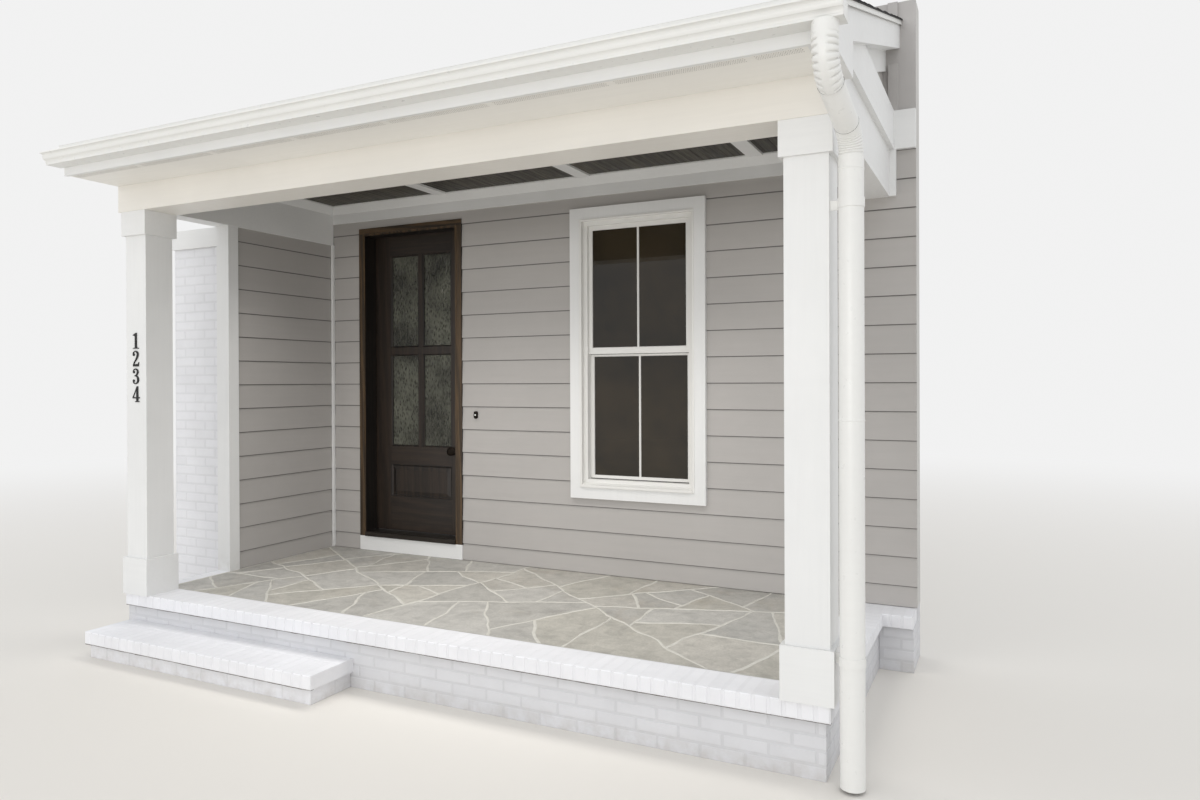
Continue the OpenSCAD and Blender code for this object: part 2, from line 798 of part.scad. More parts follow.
// Outline of lap siding: each board leans back from its bottom edge to its top
module lap_outline(z1) {
    n = ceil((z1 - floor_h - first_lap) / lap_exposure) + 1;
    intersection() {
        translate([0, siding_z0])
            square([siding_t, z1 - siding_z0]);
        polygon(concat([[siding_t, lap_line(n)], [siding_t, siding_z0]],
                       [for (k = [0 : n - 1]) for (p = [[0, lap_line(k)], [lap_set, lap_line(k + 1)]]) p]));
    }
}

module wall_siding() color(siding_grey)
    difference() {
        translate([0, face_y, 0])
            along_x(side_x, wall_x1)
                lap_outline(band_z0);
        block([frame_x0, face_y - past, 0], [frame_x1, wall_y0 + past, frame_z1]);
        casing_block(face_y - past, wall_y0 + past);
        block([side_x - past, face_y - past, frieze_z0], [right_beam_x0, wall_y0 + past, band_z0 + past]);
        block([right_beam_x0, face_y - past, beam_z],
              [beam_x1 + beam_trim_w, wall_y0 + past, band_z0 + past]);
        bell_body();
    }

module upper_siding() color(siding_grey)
    along_y(face_y, wall_y0)
        polygon([[side_x0, ceiling_top], [gable_x0, ceiling_top], [gable_x0, band_z1],
                 [wall_x1, band_z1], [wall_x1, wall_top], [side_x0, wall_top]]);

module belt_board() color(painted_white) {
    block([band_x1, trim_y0, band_z0], [wall_x1, wall_y0, band_z1]);
    block([gable_x0, face_y, band_z0], [band_x1, wall_y0, band_z1]);
    block([beam_x1, trim_y0, beam_z], [beam_x1 + beam_trim_w, wall_y0, band_z0]);
}

module side_wall() color(siding_grey)
    block([side_x0, wing_y, floor_h], [side_in, wall_y0, ceiling_top]);

module side_siding() color(siding_grey)
    translate([side_x, 0, 0])
        rotate([0, 0, 90])
            along_x(wing_y + corner_side_w - trim_t, wall_y0)
                lap_outline(left_beam_z);

module corner_trim() color(painted_white) {
    block([side_x0, wing_y - trim_t, floor_h], [side_x + corner_proud, wing_y, left_beam_z]);
    block([side_in, wing_y, floor_h],
          [side_x + corner_proud, wing_y + corner_side_w - trim_t, left_beam_z]);
    block([side_x, face_y - inner_trim, siding_z0], [side_x + inner_trim, face_y, left_beam_z]);
}

module wing_wall() color(brick_white)
    block([side_x0 - wing_len, wing_y + wing_set, 0],
          [side_x0, wing_y + wing_set + wing_t, left_beam_z - wing_band_h]);

module wing_band() color(painted_white)
    block([side_x0 - wing_len, wing_y + wing_set - wing_band_proud, left_beam_z - wing_band_h],
          [side_x0, wing_y + wing_set + wing_t, left_beam_z]);

// Front door

// A surround open at the bottom, from one plane to another
module surround(x0, x1, z1, side, y0, y1)
    difference() {
        block([x0, y0, sill_z], [x1, y1, z1]);
        block([x0 + side, y0 - past, sill_z - past], [x1 - side, y1 + past, z1 - side]);
    }

module door_frame() color(wood_dark) {
    surround(jamb_x0, jamb_x1, jamb_z1, jamb_t, wall_y0, wall_y1);
    surround(jamb_x0, jamb_x1, jamb_z1, jamb_t + stop_w, wall_y0, stop_y1);
    surround(frame_x0, frame_x1, frame_z1, frame_face, frame_y0, wall_y0);
}

module door_riser() color(painted_white) {
    block([frame_x0, frame_y0, floor_h], [frame_x1, wall_y0, sill_z]);
    block([jamb_x0, wall_y0, floor_h], [jamb_x1, wall_y1, sill_z]);
}

module door_threshold() color(metal_dark) {
    block([frame_x0 + frame_face, frame_y0 - threshold_nose, sill_z],
          [frame_x1 - frame_face, wall_y0, tread_z]);
    block([jamb_in0 + stop_w, wall_y0, sill_z], [jamb_in1 - stop_w, stop_y1, tread_z]);
    block([jamb_in0, stop_y1, sill_z], [jamb_in1, wall_y1, tread_z]);
}

// Something at each of the door's four panes
module at_panes()
    for (i = [0, 1])
        for (k = [0, 1])
            translate([glass_x0 + i * (pane_w + door_bar_w), 0, glass_z0 + k * (pane_h + door_mid_h)])
                children();

module door_leaf() color(wood_dark) {
    difference() {
        block([leaf_x0, leaf_y0, leaf_z0], [leaf_x1, leaf_y1, leaf_z1]);
        at_panes()
            block([0, leaf_y0 - past, 0], [pane_w, leaf_y1 + past, pane_h]);
        for (y = [leaf_y0 - past, leaf_y1 - panel_recess])
            block([glass_x0, y, panel_z0], [glass_x1, y + past + panel_recess, panel_z1]);
    }
    block([glass_x0 + panel_margin, leaf_y0 + field_set, panel_z0 + panel_margin],
          [glass_x1 - panel_margin, leaf_y1 - field_set, panel_z1 - panel_margin]);
}

module door_glass() color(pane)
    at_panes()
        translate([0, (leaf_y0 + leaf_y1 - glass_t) / 2, 0])
            cube([pane_w, glass_t, pane_h]);

// A lever, its rose and a deadbolt's rose on one face; s is -1 outside, 1 inside
module handle_set(s)
    translate([lock_x, s < 0 ? leaf_y0 : leaf_y1, floor_h]) {
        translate([0, 0, lever_z])
            rotate([-90 * s, 0, 0]) {
                cylinder(d = rose_d, h = rose_t);
                cylinder(d = spindle_d, h = lever_out);
            }
        translate([-lever_l, s < 0 ? -lever_out : lever_out - lever_t, lever_z - lever_h / 2])
            cube([lever_l, lever_t, lever_h]);
        translate([0, 0, deadbolt_z])
            rotate([-90 * s, 0, 0])
                cylinder(d = bolt_d, h = bolt_t);
    }

module door_handle() color(metal_dark) {
    handle_set(-1);
    handle_set(1);
}

module frame_hinges() color(metal_dark)
    for (z = hinge_z)
        translate([pivot_x, pivot_y, z - hinge_l / 2]) {
            cylinder(r = pin_r, h = hinge_l);
            for (k = [0, 2]) {
                translate([0, 0, k * knuckle_h])
                    cylinder(r = hinge_r, h = knuckle_h);
                block([jamb_in0 - pivot_x, -hinge_r - plate_t, k * knuckle_h],
                      [jamb_in0 - pivot_x + plate_t, 0, (k + 1) * knuckle_h]);
            }
            block([jamb_in0 - pivot_x, -hinge_r - plate_d, 0],
                  [jamb_in0 - pivot_x + plate_t, -hinge_r - 1, hinge_l]);
        }

module leaf_hinges() color(metal_dark)
    for (z = hinge_z)
        translate([pivot_x, pivot_y, z - hinge_l / 2]) {
            difference() {
                union() {
                    translate([0, 0, knuckle_h + knuckle_gap])
                        cylinder(r = hinge_r, h = knuckle_h - 2 * knuckle_gap);
                    block([leaf_x0 - pivot_x - plate_t, -hinge_r - plate_t, knuckle_h + knuckle_gap],
                          [leaf_x0 - pivot_x, 0, 2 * knuckle_h - knuckle_gap]);
                }
                translate([0, 0, -past])
                    cylinder(r = pin_r + 0.05, h = hinge_l + 2 * past);
            }
            block([leaf_x0 - pivot_x - plate_t, -hinge_r - plate_d, 0],
                  [leaf_x0 - pivot_x, -hinge_r - 1, hinge_l]);
        }

// Window

module window_casing() color(painted_white)
    difference() {
        casing_block(trim_y0, wall_y0);
        window_hole(trim_y0 - past, wall_y0 + past);
    }

module window_frame() color(painted_white)
    difference() {
        window_hole(win_y0, wall_y1);
        block([sash_x0, win_y0 - past, sash_z0], [sash_x1, wall_y1 + past, sash_z1]);
    }

module sash(y0, z0)
    difference() {
        block([sash_x0, y0, z0], [sash_x1, y0 + sash_t, z0 + sash_h]);
        block([sash_x0 + sash_w, y0 - past, z0 + sash_w],
              [sash_x1 - sash_w, y0 + sash_t + past, z0 + sash_h - sash_w]);
    }

module window_sashes() color(painted_white) {
    sash(upper_y0, sash_z1 - sash_h);
    sash(lower_y0, sash_z0);
}

module sash_glass(y0, z0)
    block([sash_x0 + sash_w, y0 + (sash_t - glass_t) / 2, z0 + sash_w],
          [sash_x1 - sash_w, y0 + (sash_t + glass_t) / 2, z0 + sash_h - sash_w]);

module window_glass() color(pane) {
    sash_glass(upper_y0, sash_z1 - sash_h);
    sash_glass(lower_y0, sash_z0);
}

// Doorbell

module bell_body()
    translate([left_x + bell_x, wall_y0, floor_h + bell_z])
        rotate([90, 0, 0])
            linear_extrude(siding_t + bell_proud) {
                square([bell_w, bell_h - bell_w], center = true);
                for (s = [-1, 1])
                    translate([0, s * (bell_h - bell_w) / 2])
                        circle(d = bell_w);
            }

module doorbell() color(metal_dark) bell_body();

platform_base();
rowlock_border();
flagstone_floor();
lower_step_base();
lower_step_tread();
foundation_wall();
left_column();
right_column();
column_plinths();
column_caps();
front_beam();
left_side_beam();
right_side_beam();
upper_band();
eave_soffit();
fascia();
gutter();
downspout();
downspout_elbows();
downspout_straps();
roof_deck();
roof_covering();
right_rake();
rake_frieze();
right_gable();
left_gable();
ceiling_boards();
ceiling_battens();
ceiling_frieze();
ceiling_crown();
wall_left_of_door();
wall_over_door();
wall_right_of_door();
wall_siding();
upper_siding();
belt_board();
side_wall();
side_siding();
corner_trim();
wing_wall();
wing_band();
door_frame();
door_riser();
door_threshold();
frame_hinges();
door_leaf();
door_glass();
door_handle();
leaf_hinges();
window_casing();
window_frame();
window_sashes();
window_glass();
doorbell();
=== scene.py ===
import random
from math import acos, atan, copysign, cos, degrees, dist, exp, hypot, pi, radians, sin, sqrt

import bpy
from mathutils import Matrix, Vector, noise


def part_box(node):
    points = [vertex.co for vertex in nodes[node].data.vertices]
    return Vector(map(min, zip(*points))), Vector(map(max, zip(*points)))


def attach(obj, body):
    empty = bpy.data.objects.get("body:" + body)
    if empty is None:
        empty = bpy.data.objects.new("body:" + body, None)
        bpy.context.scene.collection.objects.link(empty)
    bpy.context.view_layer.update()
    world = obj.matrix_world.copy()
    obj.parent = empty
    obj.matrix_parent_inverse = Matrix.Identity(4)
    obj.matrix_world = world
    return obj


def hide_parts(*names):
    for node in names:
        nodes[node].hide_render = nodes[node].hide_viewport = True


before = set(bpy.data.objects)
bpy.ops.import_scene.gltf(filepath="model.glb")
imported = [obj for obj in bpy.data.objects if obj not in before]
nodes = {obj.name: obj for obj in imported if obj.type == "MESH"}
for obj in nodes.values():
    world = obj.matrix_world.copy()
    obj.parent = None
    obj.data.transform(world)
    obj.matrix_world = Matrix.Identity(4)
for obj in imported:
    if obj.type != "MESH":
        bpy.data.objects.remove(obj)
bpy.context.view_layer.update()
rnd = random.Random(11)
noise.seed_set(41)
X, Y, Z = Vector((1, 0, 0)), Vector((0, 1, 0)), Vector((0, 0, 1))


# ---- places, in metres, from the nodes' boxes

def lo(n):
    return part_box(n)[0]


def hi(n):
    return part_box(n)[1]


PLAT_X0, PLAT_Y0, _ = lo("rowlock_border")
WALL_X1 = hi("rowlock_border").x
SIDE_X, BORDER_Y1, FLAG_Z0 = lo("flagstone_floor")
BORDER_X1, _, FLOOR = hi("flagstone_floor")
BASE_Y0 = lo("platform_base").y
BASE_X1, WALL_Y0, BRICK_Z = hi("platform_base")
PLAT_X1 = BASE_X1 + (BASE_Y0 - PLAT_Y0)
WALL_Y1 = hi("wall_over_door").y
WING_Y = hi("left_side_beam").y
LEDGE_Y0 = 1.453                        # the narrow ledge along the wall, right of the platform
LEDGE_BASE = LEDGE_Y0 + 0.025
BEAM_X0 = lo("front_beam").x
FASCIA_Y = lo("fascia").y
_, FASCIA_BACK, DECK_Z0 = hi("fascia")
LAP_Z0, LAP = 0.456, 0.1735             # lowest lap line of the siding, and from one to the next
PITCH = 0.3333
PIPE_X = (lo("downspout").x + hi("downspout").x) / 2
PIPE_Y = (lo("downspout").y + hi("downspout").y) / 2
PIPE_R = (hi("downspout").x - lo("downspout").x) / 2
PANEL_Z0, PANEL_Z1 = 0.754, 1.017       # the door's lower panel


def deck_under(y):
    """Height of the roof deck's underside."""
    return DECK_Z0 + (y - FASCIA_Y) * PITCH


def clamp(v, low=0.0, high=1.0):
    return max(low, min(high, v))


def turns(n):
    """Angles of n points round a circle."""
    return [2 * pi * k / n for k in range(n)]


# ---- materials

MAT = {}


def lin(v):
    """A screen value as light."""
    return v / 12.92 if v <= 0.04045 else ((v + 0.055) / 1.055) ** 2.4


def rgb(c):
    return (*(lin(v) for v in c), 1.0)


def shade(c, k):
    return tuple(x * k for x in c)


def add_node(tree, kind, inputs, operation=None):
    """A node; each of its inputs gets a value, or a link where a socket is given."""
    n = tree.nodes.new("ShaderNode" + kind)
    if kind == "Mix":
        n.data_type = "RGBA"
    if operation:
        n.operation = operation
    for key, v in inputs.items():
        if isinstance(v, bpy.types.NodeSocket):
            tree.links.new(v, n.inputs[key])
        else:
            n.inputs[key].default_value = v
    return n


class Mat:
    """A Principled material, kept in MAT, with a few ways to add procedural colour and relief."""

    def __init__(self, name, rough, **inputs):
        MAT[name] = self
        self.m = bpy.data.materials.new(name)
        self.m.use_nodes = True
        self.t = self.m.node_tree
        self.b = self.t.nodes["Principled BSDF"]
        for key, v in {"Roughness": rough, **inputs}.items():
            self.b.inputs[key.replace("_", " ")].default_value = v
        self.here = self.new("TexCoord", {}).outputs["Object"]
        self.normal = None

    def new(self, kind, inputs, operation=None):
        return add_node(self.t, kind, inputs, operation)

    def coords(self, stretch, loc=(0, 0, 0)):
        return self.new("Mapping", {"Vector": self.here, "Scale": stretch, "Location": loc}).outputs["Vector"]

    def noise(self, scale, detail=4.0, rough=0.55, warp=0.0, stretch=(1, 1, 1), loc=(0, 0, 0)):
        return self.new("TexNoise", {"Scale": scale, "Detail": detail, "Roughness": rough, "Distortion": warp,
                                     "Vector": self.coords(stretch, loc)}).outputs["Fac"]

    def voronoi(self, scale, stretch=(1, 1, 1)):
        return self.new("TexVoronoi", {"Scale": scale, "Vector": self.coords(stretch)}).outputs["Distance"]

    def span(self, v, a, b, c=0.0, d=1.0):
        return self.new("MapRange", {"Value": v, "From Min": a, "From Max": b,
                                     "To Min": c, "To Max": d}).outputs["Result"]

    def cloud(self, a, b, *args, **shape):
        """Noise, with what lies between a and b spread over 0 to 1."""
        return self.span(self.noise(*args, **shape), a, b)

    def math(self, operation, a, b):
        return self.new("Math", {0: a, 1: b}, operation).outputs[0]

    def mul(self, a, b):
        return self.math("MULTIPLY", a, b)

    def axis(self, name):
        return self.new("SeparateXYZ", {0: self.here}).outputs[name]

    def mix(self, fac, a, b):
        a, b = (rgb(v) if isinstance(v, tuple) else v for v in (a, b))
        return self.new("Mix", {0: fac, 6: a, 7: b}).outputs[2]

    def color(self, socket):
        self.t.links.new(socket, self.b.inputs["Base Color"])

    def rough(self, v, a, b):
        self.t.links.new(self.span(v, 0.3, 0.7, a, b), self.b.inputs["Roughness"])

    def bump(self, v, distance, strength=1.0):
        inputs = {"Height": v, "Distance": distance, "Strength": strength}
        if self.normal is not None:
            inputs["Normal"] = self.normal
        self.normal = self.new("Bump", inputs).outputs["Normal"]
        self.t.links.new(self.normal, self.b.inputs["Normal"])


def mottled(name, rough, cloud, span, c0, c1, relief=None, depth=0.0001, strength=1.0, **inputs):
    """Two tones in cloudy patches, with fine relief where it is given."""
    m = Mat(name, rough, **inputs)
    m.color(m.mix(m.cloud(*span, *cloud), c0, c1))
    if relief:
        m.bump(m.noise(*relief), depth, strength)
    return m


def painted(name, c, streak=(1, 1, 1), rough=0.42, var=0.022, depth=0.00012, soil=0.0):
    """Painted boards: brushed along the grain, a little uneven in tone, soiled just over the floor."""
    m = Mat(name, rough)
    brush = m.noise(48, 5, 0.6, stretch=streak)
    col = m.mix(m.cloud(0.35, 0.7, 1.7, 3), c, shade(c, 1 - var))
    col = m.mix(m.mul(m.span(brush, 0.42, 0.7), 0.35), col, shade(c, 1 - 1.5 * var))
    if soil:
        low = m.span(m.axis("Z"), FLOOR, FLOOR + 0.16, soil, 0.0)
        col = m.mix(m.mul(low, m.cloud(0.38, 0.66, 16, 5, 0.65)), col, (0.62, 0.58, 0.52))
    m.color(col)
    m.rough(m.noise(30, 3), rough - 0.05, rough + 0.08)
    if depth:
        m.bump(brush, depth)


WHITE = (0.905, 0.905, 0.90)
painted("white_wood_paint", WHITE)
painted("white_board_x", WHITE, (0.05, 1, 1))
painted("white_board_y", WHITE, (1, 0.05, 1))
painted("white_board_z", WHITE, (1, 1, 0.05), soil=0.2)
# painted light: the beam's and the soffit's whites are warmer copies of the white paint, standing for warm
# light bounced up from the ground; the soffit's is brighter too, standing for more of that light
painted("beam_warm_lit_white", (0.912, 0.898, 0.870), (0.05, 1, 1))
painted("soffit_warm_lit_white", (0.950, 0.941, 0.918), (0.05, 1, 1))
painted("white_enamel", (0.905, 0.903, 0.89), (0.1, 1, 1), 0.32, 0.015, 0)
painted("window_paint", (0.895, 0.89, 0.875), (1, 1, 0.1), 0.33, 0.015, 0.00005)


def brick_paint(name, tone_and_light):
    """Thick paint over rough brick, soiled near the ground."""
    m = Mat(name, 0.62)
    # the tint scales the paint for random tone and for painted light, lighter or darker by kind
    base = shade((0.895, 0.895, 0.905), tone_and_light)
    col = m.mix(m.cloud(0.35, 0.7, 5, 4), base, shade(base, 0.975))
    low = m.span(m.axis("Z"), 0.0, 0.10, 0.30, 0.0)
    m.color(m.mix(m.mul(low, m.cloud(0.40, 0.64, 11, 6, 0.7)), col, (0.60, 0.55, 0.48)))
    m.rough(m.noise(40, 3), 0.52, 0.72)
    m.bump(m.noise(30, 6, 0.62), 0.0020, 0.7)
    m.bump(m.noise(140, 4, 0.6), 0.0006, 0.6)
    m.bump(m.span(m.voronoi(70), 0.0, 0.20, 1.0, 0.0), 0.0006, -0.5)


# the step and the wing, the bricks on edge, and the platform's foot: each kind's brightness, and the joints'
# tint. The brightness is painted light: the bricks on edge, whose tops face the light, are a lighter copy of
# one paint, and the platform's foot, in shade, is a darker copy.
for kind, tone_and_light, joint in (("painted", 1.010, 0.966), ("edge", 1.035, 0.984), ("base", 0.940, 0.964)):
    brick_paint(kind + "_brick", tone_and_light)
    brick_paint(kind + "_brick_b", tone_and_light * 0.990)
    brick_paint(kind + "_mortar", tone_and_light * joint)


def coat(kind):
    return [kind + "_brick", kind + "_brick_b", kind + "_mortar"]


STONES = [(0.722, 0.708, 0.678), (0.706, 0.697, 0.675), (0.738, 0.723, 0.690),
          (0.712, 0.698, 0.662), (0.730, 0.720, 0.697), (0.694, 0.684, 0.660)]
for i, c in enumerate(STONES):
    m = Mat("flagstone_%d" % i, 0.8)
    shift = (3.1 * i, 1.7 * i, 0)
    veins = m.cloud(0.3, 0.7, 2.6, 7, 0.64, 1.4, loc=shift)
    cloud = m.cloud(0.36, 0.66, 11, 6, 0.66, 0.6, loc=shift)
    specks = m.cloud(0.45, 0.68, 85, 4, 0.7, loc=shift)
    rust = m.mul(m.cloud(0.54, 0.74, 1.9, 5, 0.7, 0.8, loc=(5 + i, 2, 0)), 0.4)
    col = m.mix(veins, c, shade(c, 0.85))
    col = m.mix(m.mul(cloud, 0.75), col, shade(c, 1.07))
    col = m.mix(rust, col, (0.645, 0.595, 0.52))
    m.color(m.mix(m.mul(specks, 0.4), col, shade(c, 0.80)))
    m.rough(m.noise(25, 4), 0.66, 0.9)
    m.bump(m.noise(8, 7, 0.62, 0.6, loc=shift), 0.005, 0.55)
    m.bump(m.noise(95, 5, 0.65), 0.0009, 0.7)
mottled("flag_mortar", 0.9, (20, 5), (0.35, 0.7), (0.810, 0.800, 0.770), (0.765, 0.755, 0.722),
        (120, 5, 0.7), 0.0012, 0.8)


def siding_mat(name, c, stretch, lap_shadows=True):
    """Fibre-cement boards: fine wood grain, and painted shadow under each lap, where the lap's shade falls on
    the board below.
    """
    m = Mat(name, 0.55)
    fine = m.cloud(0.35, 0.65, 26, 5, 0.6, stretch=stretch)
    col = m.mix(m.cloud(0.35, 0.7, 1.3, 4), c, shade(c, 0.972))
    col = m.mix(m.mul(fine, 0.22), col, shade(c, 0.94))
    if lap_shadows:
        # painted shadow: a dark band a few millimetres under each lap's edge, standing for its shade on the
        # board below, and a dark hairline at the edge itself
        over = m.math("SUBTRACT", m.axis("Z"), LAP_Z0 - 20 * LAP)
        up = m.math("FRACT", m.math("DIVIDE", over, LAP), 0.0)
        gap = m.span(up, 1.0 - 0.0075 / LAP, 1.0 - 0.0025 / LAP)
        butt = m.span(up, 0.0, 0.0012 / LAP, 1.0, 0.0)
        col = m.mix(m.mul(m.math("MAXIMUM", gap, butt), 0.80), col, shade(c, 0.36))
    m.color(col)
    m.rough(m.noise(18, 3), 0.48, 0.62)
    m.bump(m.noise(60, 6, 0.6, stretch=stretch), 0.0005, 0.7)


SIDING = (0.705, 0.690, 0.675)
siding_mat("siding_x", SIDING, (0.06, 1, 1))
siding_mat("siding_y", SIDING, (1, 0.06, 1))
siding_mat("siding_upright", (0.715, 0.702, 0.692), (1, 1, 0.06), False)
siding_mat("siding_gable", SIDING, (1, 0.06, 1), False)


def grain(m, dark, light, axis, rings=1.0):
    """Wood colour with its grain along one axis, and the fine lines in it."""
    along_it = tuple(0.05 if a == axis else 1.0 for a in "XYZ")
    wave = m.new("TexWave", {"Scale": 9, "Distortion": 9.0, "Detail": 4.0, "Detail Scale": 1.6,
                             "Vector": m.coords(along_it)})
    wave.bands_direction = "DIAGONAL"
    fine = m.noise(150, 6, 0.65, stretch=along_it)
    broad = m.noise(5, 4, 0.6, 0.5, stretch=along_it)
    col = m.mix(m.mul(m.span(wave.outputs["Fac"], 0.1, 0.9), rings), light, dark)
    col = m.mix(m.mul(m.span(fine, 0.4, 0.62), 0.6), col, dark)
    return m.mix(m.mul(m.span(broad, 0.45, 0.75), 0.45), col, light), fine


def timber(name, dark, light, axis, rough, relief=0.0006, **inputs):
    """Stained wood, its grain along one axis."""
    m = Mat(name, rough, **inputs)
    col, fine = grain(m, dark, light, axis)
    m.color(col)
    m.rough(fine, rough - 0.08, rough + 0.1)
    m.bump(fine, relief, 0.7)


WALNUT = (0.080, 0.064, 0.050), (0.195, 0.150, 0.115)
BROWN = (0.175, 0.132, 0.082), (0.345, 0.266, 0.168)
REVEAL_BROWN = (0.070, 0.060, 0.050), (0.130, 0.106, 0.086)
timber("door_walnut", *WALNUT, "Z", 0.42, Coat_Weight=0.05)
timber("roof_boards", (0.38, 0.29, 0.20), (0.55, 0.44, 0.32), "X", 0.75)
timber("ceiling_stain", (0.205, 0.190, 0.160), (0.330, 0.310, 0.265), "Y", 0.5, 0.0008)
timber("ceiling_stain_b", (0.180, 0.168, 0.142), (0.285, 0.268, 0.228), "Y", 0.5, 0.0008)


def leaf_mat():
    """The leaf: upright grain on the stiles and the panel, level grain on the rails."""
    m = Mat("door_leaf", 0.42, Coat_Weight=0.05)
    g0, g1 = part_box("door_glass")
    up, fine = grain(m, *WALNUT, "Z", 0.55)
    level, _ = grain(m, *WALNUT, "X", 0.55)
    x, z = m.axis("X"), m.axis("Z")
    inside = m.mul(m.math("GREATER_THAN", x, g0.x), m.math("LESS_THAN", x, g1.x))
    lock = m.mul(m.math("GREATER_THAN", z, PANEL_Z1), m.math("LESS_THAN", z, g0.z))
    ends = m.math("MAXIMUM", m.math("LESS_THAN", z, PANEL_Z0), m.math("GREATER_THAN", z, g1.z))
    m.color(m.mix(m.mul(inside, m.math("MAXIMUM", lock, ends)), up, level))
    m.rough(fine, 0.34, 0.52)
    m.bump(fine, 0.0005, 0.7)


def frame_mat():
    """Brown face and, further in, a darker brown."""
    m = Mat("frame_brown", 0.5)
    post, fine = grain(m, *BROWN, "Z")
    head, _ = grain(m, *BROWN, "X")
    deep, _ = grain(m, *REVEAL_BROWN, "Z")
    face = m.mix(m.math("GREATER_THAN", m.axis("Z"), hi("door_frame").z - 0.044), post, head)
    y = lo("door_frame").y
    m.color(m.mix(m.span(m.axis("Y"), y + 0.0005, y + 0.0040), face, deep))
    m.rough(fine, 0.42, 0.6)
    m.bump(fine, 0.0006, 0.7)


leaf_mat()
frame_mat()
mottled("wall_plaster", 0.85, (2, 5), (0.35, 0.7), (0.80, 0.795, 0.78), (0.76, 0.755, 0.74),
        (80, 5, 0.6), 0.0008, 0.8)
m = mottled("dark_bronze", 0.38, (35, 4), (0.35, 0.7), (0.155, 0.125, 0.10), (0.085, 0.072, 0.062),
            (300, 3), Metallic=0.85)
m.rough(m.noise(60, 4), 0.3, 0.5)
mottled("digit_black", 0.42, (60, 4), (0.35, 0.7), (0.045, 0.043, 0.042), (0.07, 0.067, 0.064),
        (240, 3), Metallic=0.2)
mottled("threshold_bronze", 0.45, (12, 5, 0.55, 0.0, (0.1, 1, 1)), (0.35, 0.7), (0.16, 0.145, 0.13),
        (0.24, 0.22, 0.20), (200, 4, 0.55, 0.0, (0.05, 1, 1)), 0.0002, Metallic=0.6)
mottled("vent_shadow", 0.9, (80, 3), (0.3, 0.7), (0.16, 0.155, 0.15), (0.10, 0.10, 0.10))
# painted shadow: the dark strips under the edge bricks' lips
mottled("under_lip_shadow", 0.95, (60, 5, 0.7), (0.35, 0.65), (0.52, 0.50, 0.49), (0.30, 0.28, 0.27))
# painted shade: the soffit's slots are flat marks coloured like the shade inside a perforation
mottled("vent_hole_shade", 0.9, (9, 3), (0.35, 0.65), (0.56, 0.55, 0.53), (0.70, 0.69, 0.66))
mottled("bell_lens", 0.3, (90, 2), (0.3, 0.7), (0.93, 0.92, 0.90), (0.88, 0.87, 0.85), Subsurface_Weight=0.1)
# painted shade: the pane's dark warm browns stand for the unlit room behind the glass
mottled("window_pane", 0.012, (2.2, 5, 0.6), (0.38, 0.66), (0.205, 0.172, 0.118), (0.120, 0.104, 0.072),
        (1.5, 2), 0.0010, 0.2, IOR=1.5, Transmission_Weight=0.2, Specular_IOR_Level=0.42)

for end, c0, c1, c2 in (("", (0.29, 0.29, 0.30), (0.15, 0.15, 0.16), (0.24, 0.23, 0.22)),
                        ("_b", (0.24, 0.24, 0.25), (0.12, 0.12, 0.13), (0.20, 0.19, 0.18))):
    m = Mat("roof_shingle" + end, 0.95)
    col = m.mix(m.span(m.voronoi(420), 0.1, 0.6), c0, c1)
    m.color(m.mix(m.mul(m.cloud(0.35, 0.7, 3, 4), 0.5), col, c2))
    m.bump(m.noise(330, 3, 0.7), 0.0012, 0.9)

m = Mat("rain_glass", 0.08, IOR=1.5, Transmission_Weight=0.20, Specular_IOR_Level=0.30)
drops = m.noise(46, 4, 0.55, 2.2, stretch=(1, 1, 0.36))
fleck_glint = m.span(m.voronoi(62, (1, 1, 0.45)), 0.05, 0.55)
glint_patches = m.cloud(0.28, 0.74, 3.0, 2, 0.5, loc=(2, 0, 5))
# painted light and shade: the glass is darker and lighter along the rain pattern, and pale flecks in patches
# stand for glints, for light caught and refracted in the rippled glass
col = m.mix(m.span(drops, 0.42, 0.58), (0.100, 0.097, 0.086), (0.262, 0.258, 0.228))
m.color(m.mix(m.mul(m.mul(fleck_glint, glint_patches), 0.7), col, (0.52, 0.525, 0.465)))
m.bump(drops, 0.010)
m.bump(fleck_glint, 0.003, 0.6)


# ---- mesh building

CORNERS = [(x, y, z) for x in (-1, 1) for y in (-1, 1) for z in (-1, 1)]
BOX = [(0, 1, 3, 2), (4, 6, 7, 5), (0, 4, 5, 1), (2, 3, 7, 6), (0, 2, 6, 4), (1, 5, 7, 3)]


def along(rows, n, wrap=True):
    """Faces between rows of n points that lie one after the other."""
    return [(k * n + s, k * n + (s + 1) % n, (k + 1) * n + (s + 1) % n, (k + 1) * n + s)
            for k in range(rows - 1) for s in range(n if wrap else n - 1)]


def across(rows, n, wrap=True):
    """The same faces, seen from the other side."""
    return [(a, d, c, b) for a, b, c, d in along(rows, n, wrap)]


def flip(faces):
    return [f[::-1] for f in faces]


